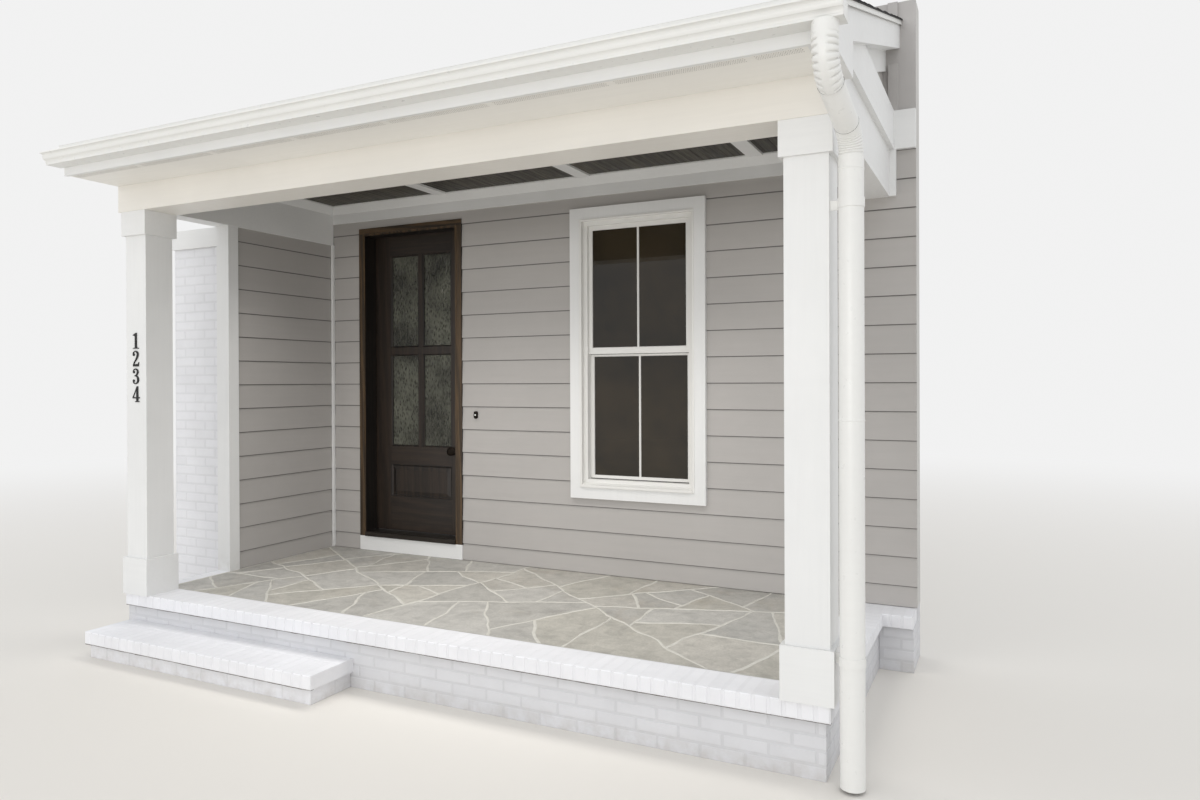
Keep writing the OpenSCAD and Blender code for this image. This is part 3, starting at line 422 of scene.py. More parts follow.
class Part:
    """Collects faces for one piece, in the shared frame, in metres."""

    def __init__(self, *mats):
        self.v, self.f, self.i = [], [], []
        self.mats = mats

    def add(self, verts, faces, mat=0):
        n = len(self.v)
        self.v += [tuple(p) for p in verts]
        self.f += [[n + k for k in f] for f in faces]
        self.i += [mat] * len(faces)

    def box(self, a, b, mat=0, bevel=0.0):
        a, b = Vector(a), Vector(b)
        self.block((a + b) / 2, (X, Y, Z), (b - a) / 2, mat, bevel)

    def block(self, c, axes, half, mat=0, bevel=0.0):
        """A box about c with its edges cut back by bevel."""
        if bevel <= 0:
            v = [c + axes[0] * (half[0] * x) + axes[1] * (half[1] * y) + axes[2] * (half[2] * z)
                 for x, y, z in CORNERS]
            self.add(v, BOX, mat)
            return
        v, ids, faces = [], {}, []
        for s in CORNERS:
            for k in range(3):
                p = Vector(c)
                for j in range(3):
                    p += axes[j] * (s[j] * (half[j] - (0 if j == k else bevel)))
                ids[(s, k)] = len(v)
                v.append(p)
        for k in range(3):
            i, j = (k + 1) % 3, (k + 2) % 3

            def corner(sk, si, sj, side):
                s = [0, 0, 0]
                s[k], s[i], s[j] = sk, si, sj
                return ids[(tuple(s), side)]
            for sk in (-1, 1):
                q = [corner(sk, si, sj, k) for si, sj in ((-1, -1), (1, -1), (1, 1), (-1, 1))]
                faces.append(q if sk > 0 else q[::-1])
            for si, sj in ((-1, -1), (-1, 1), (1, -1), (1, 1)):
                q = [corner(-1, si, sj, i), corner(1, si, sj, i), corner(1, si, sj, j), corner(-1, si, sj, j)]
                faces.append(q if si * sj < 0 else q[::-1])
        for x, y, z in CORNERS:
            q = [ids[((x, y, z), k)] for k in range(3)]
            faces.append(q if x * y * z > 0 else q[::-1])
        self.add(v, faces, mat)

    def prism(self, pts, place, t0, t1, mat=0):
        """An outline of 2-D points between t0 and t1; place turns (a, b, t) into a point."""
        n = len(pts)
        v = [place(a, b, t) for t in (t0, t1) for a, b in pts]
        self.add(v, [tuple(range(n)), tuple(range(2 * n - 1, n - 1, -1))] + across(2, n), mat)

    def tube(self, path, radii, side, segs, mat=0):
        """A tube along points in the plane square to side; a radius may be a function of the angle."""
        v, last = [], len(path) - 1
        for k, (p, r) in enumerate(zip(path, radii)):
            d = (Vector(path[min(k + 1, last)]) - Vector(path[max(k - 1, 0)])).normalized()
            up = side.cross(d).normalized()
            for a in turns(segs):
                ra = r(a) if callable(r) else r
                v.append(Vector(p) + side * (ra * cos(a)) + up * (ra * sin(a)))
        self.add(v, along(len(path), segs), mat)

    def turned(self, centre, axis, profile, segs, mat=0):
        """A turned shape: profile is a list of (radius, distance along the axis)."""
        axis = Vector(axis).normalized()
        side = axis.orthogonal().normalized()
        up = axis.cross(side)
        v = [Vector(centre) + axis * d + side * (r * cos(a)) + up * (r * sin(a))
             for r, d in profile for a in turns(segs)]
        ends = [tuple(range(segs))[::-1], tuple(range(len(v) - segs, len(v)))]
        self.add(v, along(len(profile), segs) + ends, mat)

    def make(self, name, slot, replaces=(), body="porch", smooth=None):
        me = bpy.data.meshes.new(name)
        me.from_pydata(self.v, [], self.f)
        for k in self.mats:
            me.materials.append(MAT[k].m)
        for p, i in zip(me.polygons, self.i):
            p.material_index = i
        me.validate()
        me.update()
        if smooth is not None:
            for p in me.polygons:
                p.use_smooth = True
            me.set_sharp_from_angle(angle=radians(smooth))
        o = bpy.data.objects.new(name, me)
        bpy.context.scene.collection.objects.link(o)
        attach(o, body)
        if replaces:
            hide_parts(*replaces)


def level(x, y, z):
    """Places an outline drawn in plan."""
    return Vector((x, y, z))


# ---- bricks

BRICK_L, JOINT, ROWLOCK = 0.197, 0.010, 0.0665
RECESS, EDGE_RECESS = 0.0020, 0.0042    # of the mortar, behind flat and behind edge bricks
COURSE = 0.0668
SIDES = {"front": (X, -Y), "back": (X, Y), "left": (Y, -X), "right": (Y, X)}


def brick_courses(part, height, courses, *walls):
    """Running bond from the ground up; each wall is (x, y, side, length, phase)."""
    pitch, ch, depth = BRICK_L + JOINT, height / courses, 0.012
    for wx, wy, name, length, phase in walls:
        u, n = SIDES[name]
        right = u.cross(n).dot(Z) > 0
        for c in range(courses):
            s = -((c % 2) * pitch / 2 + phase) % pitch - pitch
            while s < length:
                a, b = max(s, 0.0), min(s + BRICK_L, length)
                s += pitch
                if b - a < 0.02:
                    continue
                z0, z1 = c * ch + JOINT / 2 if c else 0.0002, (c + 1) * ch - JOINT / 2
                j = [rnd.uniform(-0.0013, 0.0013) for _ in range(4)]
                out = rnd.uniform(-0.0012, 0.0)
                w, h = (b - a) / 2 + j[0] * 0.6, (z1 - z0) / 2 + (j[1] * 0.5 if c else -abs(j[1]) * 0.5)
                rise = j[3] * 0.4
                if c == 0:
                    rise = max(0.0, rise)
                    h -= rise
                centre = (Vector((wx, wy, 0)) + u * ((a + b) / 2 + j[2] * 0.5) + Z * ((z0 + z1) / 2 + rise)
                          + n * (out - depth / 2))
                axes, half = ((u, n, Z), (w, depth / 2, h)) if right else ((n, u, Z), (depth / 2, w, h))
                part.block(centre, axes, half, 0 if rnd.random() < 0.6 else 1, 0.0028)


def rowlock(part, a, b, along_axis):
    """Bricks on edge that fill the box from a to b, in a row along an axis."""
    a, b = Vector(a), Vector(b)
    k = "XY".index(along_axis)
    n = max(1, round((b[k] - a[k]) / ROWLOCK))
    step = (b[k] - a[k]) / n
    for i in range(n):
        p, q = Vector(a), Vector(b)
        p[k] = a[k] + i * step + JOINT * 0.42
        q[k] = a[k] + (i + 1) * step - JOINT * 0.42
        d = [rnd.uniform(0, 0.0016) for _ in range(3)]
        p += Vector((d[0], d[1], 0)) * 0.6
        q -= Vector((d[1], d[0], d[2] * 0.4))
        part.box(p, q, rnd.choice((0, 1)), 0.0050)


def build_bricks():
    r, e, gap = RECESS, EDGE_RECESS, 0.0003
    # the platform's base
    p = Part(*coat("base"))
    p.prism([(PLAT_X0 + r, BASE_Y0 + r), (BASE_X1 - r, BASE_Y0 + r), (BASE_X1 - r, WALL_Y0),
             (SIDE_X, WALL_Y0), (SIDE_X, WING_Y), (PLAT_X0 + r, WING_Y)], level, BRICK_Z - 0.0005, 0.0, 2)
    brick_courses(p, BRICK_Z, 4, (PLAT_X0, BASE_Y0, "front", BASE_X1 - PLAT_X0, 0.03),
                  (BASE_X1, BASE_Y0, "right", LEDGE_BASE - BASE_Y0, 0.13),
                  (PLAT_X0, BASE_Y0, "left", WING_Y - BASE_Y0, 0.13))
    p.make("platform_bricks", "painted_brick", ["platform_base"])
    # the border of bricks on edge
    p = Part(*coat("edge"))
    z0 = BRICK_Z + gap
    p.prism([(PLAT_X0 + e, PLAT_Y0 + e), (PLAT_X1 - e, PLAT_Y0 + e), (PLAT_X1 - e, LEDGE_Y0 + e),
             (WALL_X1 - e, LEDGE_Y0 + e), (WALL_X1 - e, WALL_Y0), (BORDER_X1, WALL_Y0),
             (BORDER_X1, BORDER_Y1), (SIDE_X, BORDER_Y1), (SIDE_X, WING_Y), (PLAT_X0 + e, WING_Y)], level, FLOOR - 0.0010, z0, 2)
    rowlock(p, (PLAT_X0, PLAT_Y0, z0), (PLAT_X1, BORDER_Y1 - 0.006, FLOOR), "X")
    rowlock(p, (PLAT_X0, BORDER_Y1, z0), (SIDE_X - 0.004, WING_Y, FLOOR), "Y")
    rowlock(p, (BORDER_X1 + 0.006, BORDER_Y1, z0), (PLAT_X1, LEDGE_Y0 - 0.001, FLOOR), "Y")
    rowlock(p, (BORDER_X1 + 0.006, LEDGE_Y0, z0), (WALL_X1, WALL_Y0 - 0.012, FLOOR), "X")
    p.make("rowlock_bricks", "painted_brick", ["rowlock_border"])
    # painted shadow: dark strips under the edge bricks of the platform and of the step, where the shade under
    # their lips falls
    p = Part("under_lip_shadow")
    a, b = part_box("lower_step_base")
    t0, t1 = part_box("lower_step_tread")
    for n, x0, x1, y0, y1, z, deep, vary, pace, row in (
            (90, PLAT_X0, PLAT_X1, PLAT_Y0, BASE_Y0, BRICK_Z, 0.0030, 0.0018, 0.61, 2.0),
            (60, t0.x, t1.x, t0.y, a.y, t0.z, 0.0034, 0.0020, 0.57, 7.0)):
        for k in range(n):
            xa = x0 + 0.004 + (x1 - x0 - 0.008) * k / n
            xb = xa + (x1 - x0 - 0.008) / n
            h = deep + vary * noise.noise(Vector((k * pace, row, 0.5)))
            p.box((xa, y0 + e, z - h), (xb, y1 + 0.001, z + 0.0002))
    p.make("brick_lip_shadows", "painted_brick")
    # the step
    p = Part(*coat("painted"))
    p.box(a + Vector((r, r, 0)), b - Vector((r, 0, gap)), 2)
    brick_courses(p, b.z, 1, (a.x, a.y, "front", b.x - a.x, 0.05), (a.x, a.y, "left", b.y - a.y, 0.02),
                  (b.x, a.y, "right", b.y - a.y, 0.02))
    p.make("step_bricks", "painted_brick", ["lower_step_base"])
    p = Part(*coat("edge"))
    p.box(t0 + Vector((e, e, gap)), t1 - Vector((e, 0, 0.0010)), 2)
    rowlock(p, t0, (t1.x, t0.y + 0.205, t1.z), "X")
    rowlock(p, (t0.x, t0.y + 0.212, t0.z), (t1.x, t1.y - 0.004, t1.z), "X")
    p.make("step_tread_bricks", "painted_brick", ["lower_step_tread"])
    # the foundation
    p = Part(*coat("base"))
    x = lo("foundation_wall").x
    p.box((x, WING_Y, 0), (SIDE_X, WALL_Y0, FLOOR - gap), 2)
    p.box((x, WALL_Y0, 0), (WALL_X1 - r, WALL_Y1, FLOOR - gap), 2)
    p.box((BASE_X1, LEDGE_BASE + r, 0), (WALL_X1 - r, WALL_Y0, BRICK_Z - gap), 2)
    brick_courses(p, BRICK_Z, 4, (BASE_X1, LEDGE_BASE, "front", WALL_X1 - BASE_X1, 0.08),
                  (WALL_X1, LEDGE_BASE, "right", WALL_Y1 - LEDGE_Y0 - 0.025, 0.0))
    p.make("foundation_bricks", "painted_brick", ["foundation_wall"])
    # the wing
    a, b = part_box("wing_wall")
    p = Part(*coat("painted"))
    p.box(a + Vector((r, r, 0)), b - Vector((0, r, gap)), 2)
    brick_courses(p, b.z, round((b.z - a.z) / COURSE), (a.x, a.y, "front", b.x - a.x, 0.09),
                  (a.x, a.y, "left", b.y - a.y, 0.0), (a.x, b.y, "back", b.x - a.x, 0.02))
    p.make("wing_bricks", "painted_brick", ["wing_wall"])


# ---- flagstones

def clip(poly, point, normal):
    """The part of a polygon on the side of a line that normal points away from."""
    out = []
    for a, b in zip(poly, poly[1:] + poly[:1]):
        da = (a[0] - point[0]) * normal[0] + (a[1] - point[1]) * normal[1]
        db = (b[0] - point[0]) * normal[0] + (b[1] - point[1]) * normal[1]
        if da <= 0:
            out.append(a)
        if (da < 0 < db) or (db < 0 < da):
            t = da / (da - db)
            out.append((a[0] + t * (b[0] - a[0]), a[1] + t * (b[1] - a[1])))
    return out


def twice_area(poly):
    return sum(poly[k - 1][0] * q[1] - q[0] * poly[k - 1][1] for k, q in enumerate(poly))


def cut_stones(g, x0, x1, y0, y1):
    """Irregular paving: each piece is cut across its long way until it is a stone's size."""
    todo, done = [[(x0, y0), (x1, y0), (x1, y1), (x0, y1)]], []
    while todo:
        poly = todo.pop(0)
        a, b = max(((p, q) for p in poly for q in poly), key=lambda e: dist(*e))
        long = dist(a, b)
        if abs(twice_area(poly)) / 2 < g.uniform(0.09, 0.27) and long < 1.05:
            done.append(poly)
            continue
        for _ in range(12):
            t, turn = g.uniform(0.36, 0.64), g.uniform(-0.75, 0.75)
            d = ((b[0] - a[0]) / long, (b[1] - a[1]) / long)
            n = (d[0] * cos(turn) - d[1] * sin(turn), d[0] * sin(turn) + d[1] * cos(turn))
            c = (a[0] + (b[0] - a[0]) * t, a[1] + (b[1] - a[1]) * t)
            parts = [q for q in (clip(poly, c, n), clip(poly, c, (-n[0], -n[1]))) if len(q) > 2]
            if all(min(dist(q[k - 1], q[k]) for k in range(len(q))) > 0.07 for q in parts):
                break
        todo += parts
    return done


def build_flags():
    """Stones with rounded rims, a little out of level, in a bed of mortar."""
    x0, x1, y0, y1 = SIDE_X, BORDER_X1, BORDER_Y1, WALL_Y0
    g = random.Random(41)
    part = Part("flag_mortar", *("flagstone_%d" % i for i in range(len(STONES))))
    part.box((x0, y0, FLAG_Z0), (x1, y1, FLOOR - 0.0046))

    def wobble(p):
        v = noise.noise_vector(Vector((p[0] * 5.0, p[1] * 5.0, 3.1)))
        w = noise.noise_vector(Vector((p[0] * 24.0, p[1] * 24.0, 9.4)))
        k = clamp(min(p[0] - x0, x1 - p[0], p[1] - y0, y1 - p[1]) / 0.03)
        return (p[0] + (v.x * 0.026 + w.x * 0.005) * k, p[1] + (v.y * 0.026 + w.y * 0.005) * k)

    for poly in cut_stones(g, x0, x1, y0, y1):
        s = (sum(q[0] for q in poly) / len(poly), sum(q[1] for q in poly) / len(poly))
        ring = []
        for a, b in zip(poly, poly[1:] + poly[:1]):
            n = max(1, round(dist(a, b) / 0.03))
            ring += [(a[0] + (b[0] - a[0]) * t / n, a[1] + (b[1] - a[1]) * t / n) for t in range(n)]
        n = len(ring)
        edge = [wobble(p) for p in ring]
        turn = 1 if twice_area(edge) > 0 else -1
        inner, mid = [], []
        for k in range(n):
            a, b, c = Vector(edge[k - 1]), Vector(edge[k]), Vector(edge[(k + 1) % n])
            n1 = Vector((-(b - a).y, (b - a).x)).normalized() * turn
            n2 = Vector((-(c - b).y, (c - b).x)).normalized() * turn
            h = n1 + n2
            h = h.normalized() if h.length > 1e-6 else n1
            inset = (0.0082 + 0.0058 * noise.noise(Vector((b.x * 7, b.y * 7, 1.7)))) / max(0.6, h.dot(n1))
            inner.append(b + h * inset)
            mid.append(b + h * inset * 0.7)
        zs = FLOOR - g.uniform(0.0016, 0.0030)
        tilt = (g.uniform(-0.003, 0.003), g.uniform(-0.003, 0.003))
        top = [(p[0], p[1], zs + clamp((p[0] - s[0]) * tilt[0] + (p[1] - s[1]) * tilt[1], -0.0012, 0.0010))
               for p in inner]
        rim = [(p[0], p[1], FLOOR + 0.0002) for p in edge] + [(p[0], p[1], FLOOR - 0.0004) for p in mid]
        rings, face = along(3, n), [tuple(range(n))]
        part.add(rim + top, rings if turn > 0 else flip(rings))
        part.add(top, face if turn > 0 else flip(face), 1 + g.randrange(len(STONES)))
    part.make("flagstones", "flagstone", ["flagstone_floor"])


# ---- ceiling, soffit and roof

def build_ceiling():
    """Boards with a small bead along the middle of each."""
    a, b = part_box("ceiling_boards")
    p = Part("ceiling_stain", "ceiling_stain_b")
    p.box((a.x, a.y, a.z + 0.004), b, 1)
    n = round((b.x - a.x) / 0.083)
    w = (b.x - a.x) / n
    for k in range(n):
        x = a.x + k * w
        z = a.z + rnd.uniform(0, 0.0004)
        mat = 0 if rnd.random() < 0.6 else 1
        p.box((x + 0.0009, a.y, z), (x + w - 0.0009, b.y, a.z + 0.010), mat, 0.0026)
        p.box((x + w / 2 - 0.0034, a.y, a.z - 0.0012), (x + w / 2 + 0.0034, b.y, a.z + 0.004), mat, 0.0015)
    p.make("ceiling_planks", "stained_boards", ["ceiling_boards"])


def build_soffit():
    """Four rows of small slots in the soffit behind the fascia: flat grey marks just under it, whose colour is
    painted shade standing for the dark inside of each slot.
    """
    p = Part("vent_hole_shade")
    x0, x1 = BEAM_X0 + 0.020, lo("right_rake").x - 0.020
    z, pitch, slot = lo("eave_soffit").z - 0.0003, 0.0095, 0.0042
    n = round((x1 - x0) / pitch)
    for row in range(4):
        y = FASCIA_BACK + 0.022 + row * 0.0115
        for k in range(n):
            if k % 64 < 60:                              # a plain strip where two lengths meet
                x = x0 + (x1 - x0) * (k + 0.5 * (row % 2)) / n
                p.add([(x, y, z), (x + slot, y + 0.0022, z), (x + slot, y + 0.0064, z), (x, y + 0.0042, z)],
                      [(0, 3, 2, 1)])
    p.make("soffit_vent", "white_wood")


def build_roof():
    """Rows of shingles on a thin bed, and the drip edge along the eave and both rakes."""
    (x0, y0, _), (x1, y1, _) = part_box("roof_covering")
    slope = atan(PITCH)
    c, s = cos(slope), sin(slope)
    base = deck_under(y0) + 0.0162
    out, rows, length = 0.0115 * c, 16, (y1 - y0) / c
    bed = out * 0.55

    def at(t, n, x):
        return Vector((x, y0 + t * c - n * s, base + t * s + n * c))
    p = Part("roof_shingle", "roof_shingle_b", "dark_bronze")
    p.prism([(0.004, 0.0), (length, 0.0), (length, bed), (0.004, bed)], at, x0, x1)
    ex = length / rows
    for r in range(rows):
        t0 = r * ex
        t1 = min(length, t0 + ex * 1.12)
        x = x0 - (r % 3) * 0.11 - 0.02
        while x < x1:
            w = rnd.choice([0.19, 0.24, 0.30, 0.33])
            xa, xb = max(x0, x + 0.002), min(x1, x + w - 0.002)
            x += w
            if xb - xa < 0.015:
                continue
            thick = out * rnd.uniform(0.86, 1.0)
            mat = 0 if rnd.random() < 0.55 else 1
            butt = t0 + (rnd.uniform(0.0, 0.004) if r else 0.003)
            p.prism([(butt, bed * 0.5), (t1, bed * 0.5), (t1, bed + 0.0003), (butt + 0.003, thick),
                     (butt, thick - 0.0018)], at, xa, xb, mat)
    p.make("roof_shingles", "roofing", ["roof_covering"])
    d = Part("white_enamel")
    z = deck_under(FASCIA_Y) + 0.016
    eave = [(-0.0186, -0.0092), (0.05, 0.0130), (0.05, 0.0140), (-0.0186, -0.0082), (-0.0186, 0.0076),
            (-0.0206, 0.0086), (-0.0222, 0.0070), (-0.0208, 0.0040), (-0.0208, -0.026), (-0.0245, -0.032),
            (-0.0232, -0.033), (-0.0186, -0.027)]
    rake = [(0.0, 0.0162), (0.010, 0.0162), (0.010, -0.006), (0.013, -0.010), (0.012, -0.011),
            (0.0088, -0.007), (0.0088, 0.0150), (0.0, 0.0150)]
    d.prism(eave, lambda q, h, x: Vector((x, FASCIA_Y + q, z + h)), x0 + 0.001, x1 - 0.001)
    for side, xe in ((1, hi("right_rake").x), (-1, BEAM_X0)):
        d.prism(rake, lambda q, h, y: Vector((xe + side * q, y, deck_under(y) + h)), FASCIA_Y - 0.012, y1)
    d.make("drip_edge", "gutter_metal")


# ---- rainwater

def build_gutter():
    """The gutter's moulded front: foot, hollow, belly, cove and lip, rolled from one sheet."""
    a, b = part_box("gutter")
    w, h, t = b.y - a.y, b.z - a.z, 0.0018
    foot, lip = w * 0.709, 0.0135
    front = [(foot, 0.0), (foot, 0.0085), (foot - 0.0010, 0.0100)]
    for f in (k / 12 for k in range(13)):                # hollow that sweeps out to the belly
        front.append((foot + 0.0145 * (1 - cos(f * pi / 2)) ** 0.9,
                      0.0105 + 0.0185 * sin(f * 1.45)))
    u, z = front[-1]
    for f in (k / 10 for k in range(1, 11)):             # belly
        front.append((u + 0.0062 * sin(f * pi * 0.62), z + (h - 0.0185 - z) * f))
    u, z = front[-1]
    for f in (k / 8 for k in range(1, 9)):               # cove under the lip
        front.append((u + (w - 0.0012 - u) * (1 - cos(f * pi / 2)),
                      z + (h - 0.0080 - z) * sin(f * pi / 2)))
    front += [(w, h - 0.0070), (w, h - 0.0012), (w - 0.0012, h)]
    inner = [(w - lip, h), (w - lip, h - 0.0035), (w - lip + 0.0016, h - 0.0045), (w - 0.0040, h - 0.0032)]
    inner += [(u - t, z + t * 0.4) for u, z in reversed(front[3:-3])] + [(foot - t, t)]
    profile = [(0.0, 0.0)] + front + inner + [(t, t), (t, h), (0.0, h)]

    def at(u, z, x):
        return Vector((x, b.y - u, a.z + z))
    p = Part("white_enamel")
    n = len(profile)
    p.add([at(u, z, x) for x in (a.x + 0.0012, b.x - 0.0012) for u, z in profile], along(2, n))
    for x0, x1 in ((a.x, a.x + 0.0016), (b.x - 0.0016, b.x)):          # end caps
        p.prism([(0.0, 0.0)] + front + [(w - 0.004, h - 0.001), (0.0, h - 0.001)], at, x0, x1)
    p.make("gutter_trough", "gutter_metal", ["gutter"], smooth=24)


def build_rainwater():
    """The pleated elbows, the collars and seam of the pipe, and the gutter's hangers."""
    top = lo("gutter").z
    out = Vector((lo("downspout_elbows").x + PIPE_R, FASCIA_Y - 0.056, 0))
    foot = Vector((PIPE_X, PIPE_Y, 0))
    run = (foot - out).length
    e = (foot - out) / run
    side = e.cross(Z)
    R, A, q = 0.120, radians(72), PIPE_R            # radius and angle of a bend, radius of the pipe
    z1 = top - 0.086
    drop, back = R * sin(A), R * (1 - cos(A))
    slant = (run - 2 * back) / sin(A)
    z3 = z1 - 2 * drop - slant * cos(A)
    down = e * sin(A) - Z * cos(A)

    def at(t, z):
        return out + e * t + Z * z
    first = [at(0, z1 + 0.050 * (1 - k / 24)) for k in range(24)]
    first += [at(R * (1 - cos(A * k / 96)), z1 - R * sin(A * k / 96)) for k in range(97)]
    second = [at(run - R * (1 - cos(A * (1 - k / 96))), z3 + R * sin(A * (1 - k / 96)))
              for k in range(97)]
    second += [at(run, z3 - 0.048 * k / 22) for k in range(1, 23)]

    def pleated(path, start, pitch, count, inner, depth):
        """A bend with sharp pleats, deepest on its inner side and absent on its outer side."""
        def radius(fold, swell):
            def r(a):
                off = degrees(acos(clamp(-inner * sin(a), -1.0)))
                return q - 0.0006 - clamp((off - 16) / 20) * depth * (fold + 0.25 * swell)
            return r
        s, radii = 0.0, []
        for k, p in enumerate(path):
            s += (p - path[k - 1]).length if k else 0.0
            near = min(abs(s - start - pitch * j) for j in range(count))
            pleats = start - pitch < s < start + pitch * count
            swell = 0.5 + 0.5 * cos(2 * pi * (s - start) / pitch) if pleats else 0.0
            radii.append(radius(exp(-(near / 0.0028) ** 2), swell))
        return path, radii
    p = Part("white_enamel", "vent_shadow")
    p.tube(*pleated(first, 0.035, 0.0228, 8, 1, 0.0074), side, 72)
    p.tube([at(0, top), at(0, top - 0.012), at(0, z1 + 0.050)], [q - 0.003, q - 0.0006, q - 0.0006], side, 56)
    s0 = at(back, z1 - drop)
    # painted shade: a thin dark ring where the straight length leaves the first elbow, standing for the shade
    # in the joint
    p.tube([s0 - down * 0.0006, s0 + down * 0.0012], [q - 0.0004, q - 0.0024], side, 56, 1)
    p.tube([s0 + down * 0.0010, s0 + down * 0.0022, s0 + down * (slant - 0.030), s0 + down * slant],
           [q - 0.0034, q - 0.0024, q - 0.0018, q - 0.0013], side, 72)
    # painted shade: a thin dark ring where the straight length meets the second elbow
    p.tube([s0 + down * (slant - 0.0011), s0 + down * (slant - 0.0001)], [q - 0.0012, q - 0.0008], side, 72, 1)
    p.tube(*pleated(second, 0.052, 0.0150, 8, -1, 0.0034), side, 72)
    # the lengthwise seam, folded flat
    c = (side * 0.30 - down.cross(side).normalized() * 0.95).normalized()
    t = c.cross(down).normalized()
    p.add([m + c * (q - 0.0026 + h) + t * o for m in (s0 + down * 0.004, s0 + down * (slant - 0.004))
           for o, h in ((-0.004, 0), (-0.003, 0.0014), (0.003, 0.0014), (0.004, 0))], along(2, 4, False))
    p.make("elbow_pipe", "gutter_metal", ["downspout_elbows"], smooth=50)
    # collars and seam on the upright length
    d = Part("white_enamel")
    for z in (z3 - 0.052, 1.52):
        d.tube([foot + Z * (z + h) for h in (0.005, 0.002, -0.002, -0.005)],
               [q - 0.0005, q + 0.0014, q + 0.0014, q - 0.0005], X, 40)
    d.box((PIPE_X - 0.004, PIPE_Y + q - 0.001, lo("downspout").z + 0.002),
          (PIPE_X + 0.004, PIPE_Y + q + 0.0012, z3 - 0.02))
    d.make("pipe_collars", "gutter_metal", smooth=40)
    # hidden hangers and end seams of the gutter
    a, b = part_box("gutter")
    h = Part("white_enamel")
    n = 8
    for k in range(n):
        x = a.x + 0.25 + (b.x - a.x - 0.5) * k / (n - 1)
        h.box((x - 0.012, a.y + 0.010, b.z - 0.010), (x + 0.012, b.y - 0.001, b.z - 0.007), 0, 0.0006)
        h.box((x - 0.012, b.y - 0.004, b.z - 0.028), (x + 0.012, b.y - 0.0025, b.z - 0.007))
        h.turned((x, b.y - 0.012, b.z - 0.0185), (0, 1, 0), [(0.0055, 0), (0.0055, 0.004), (0.003, 0.009)], 8)
    for x0, x1 in ((a.x, a.x + 0.006), (b.x - 0.006, b.x)):
        h.box((x0, b.y - 0.0025, a.z + 0.003), (x1, b.y + 0.0005, b.z - 0.002))
    h.make("gutter_hangers", "gutter_metal")


def build_upper_battens():
    """Upright battens over the joints of the upper siding, above the belt and above the roof."""
    p = Part("siding_upright")
    x_end, y1, _ = lo("upper_siding")
    over_roof, top = hi("roof_covering").z + 0.012, hi("upper_siding").z - 0.001
    x, pitch, half = 2.2735, 0.4064, 0.0285
    belt, eave = hi("belt_board").z + 0.001, deck_under(y1) - 0.24
    while x > x_end + 0.03:
        if x > hi("right_gable").x and eave - belt > 0.03:
            p.box((x - half, y1 - 0.0185, belt), (x + half, y1 + 0.0005, eave), 0, 0.0015)
        p.box((x - half, y1 - 0.0185, over_roof), (x + half, y1 + 0.0005, top), 0, 0.0015)
        x -= pitch
    p.make("upper_battens", "siding")


build_bricks()
build_flags()
build_upper_battens()
build_ceiling()
build_soffit()
build_roof()
build_gutter()
build_rainwater()


# ---- front door

def strips(part, x0, x1, z0, z1, y, sign, profile):
    """A mitred moulding round the inside of an opening. profile is (inwards, outwards from y)."""
    v = [Vector((x + sx * w, y + sign * d, z + sz * w))
         for x, z, sx, sz in ((x0, z0, 1, 1), (x1, z0, -1, 1), (x1, z1, -1, -1), (x0, z1, 1, -1))
         for w, d in profile]
    faces = [tuple(k % len(v) for k in f) for f in across(5, len(profile))]
    part.add(v, faces if sign < 0 else flip(faces))


def ellipse(u, w):
    """The radius of an ellipse as a function of the angle."""
    return lambda t: 1 / hypot(cos(t) / u, sin(t) / w)


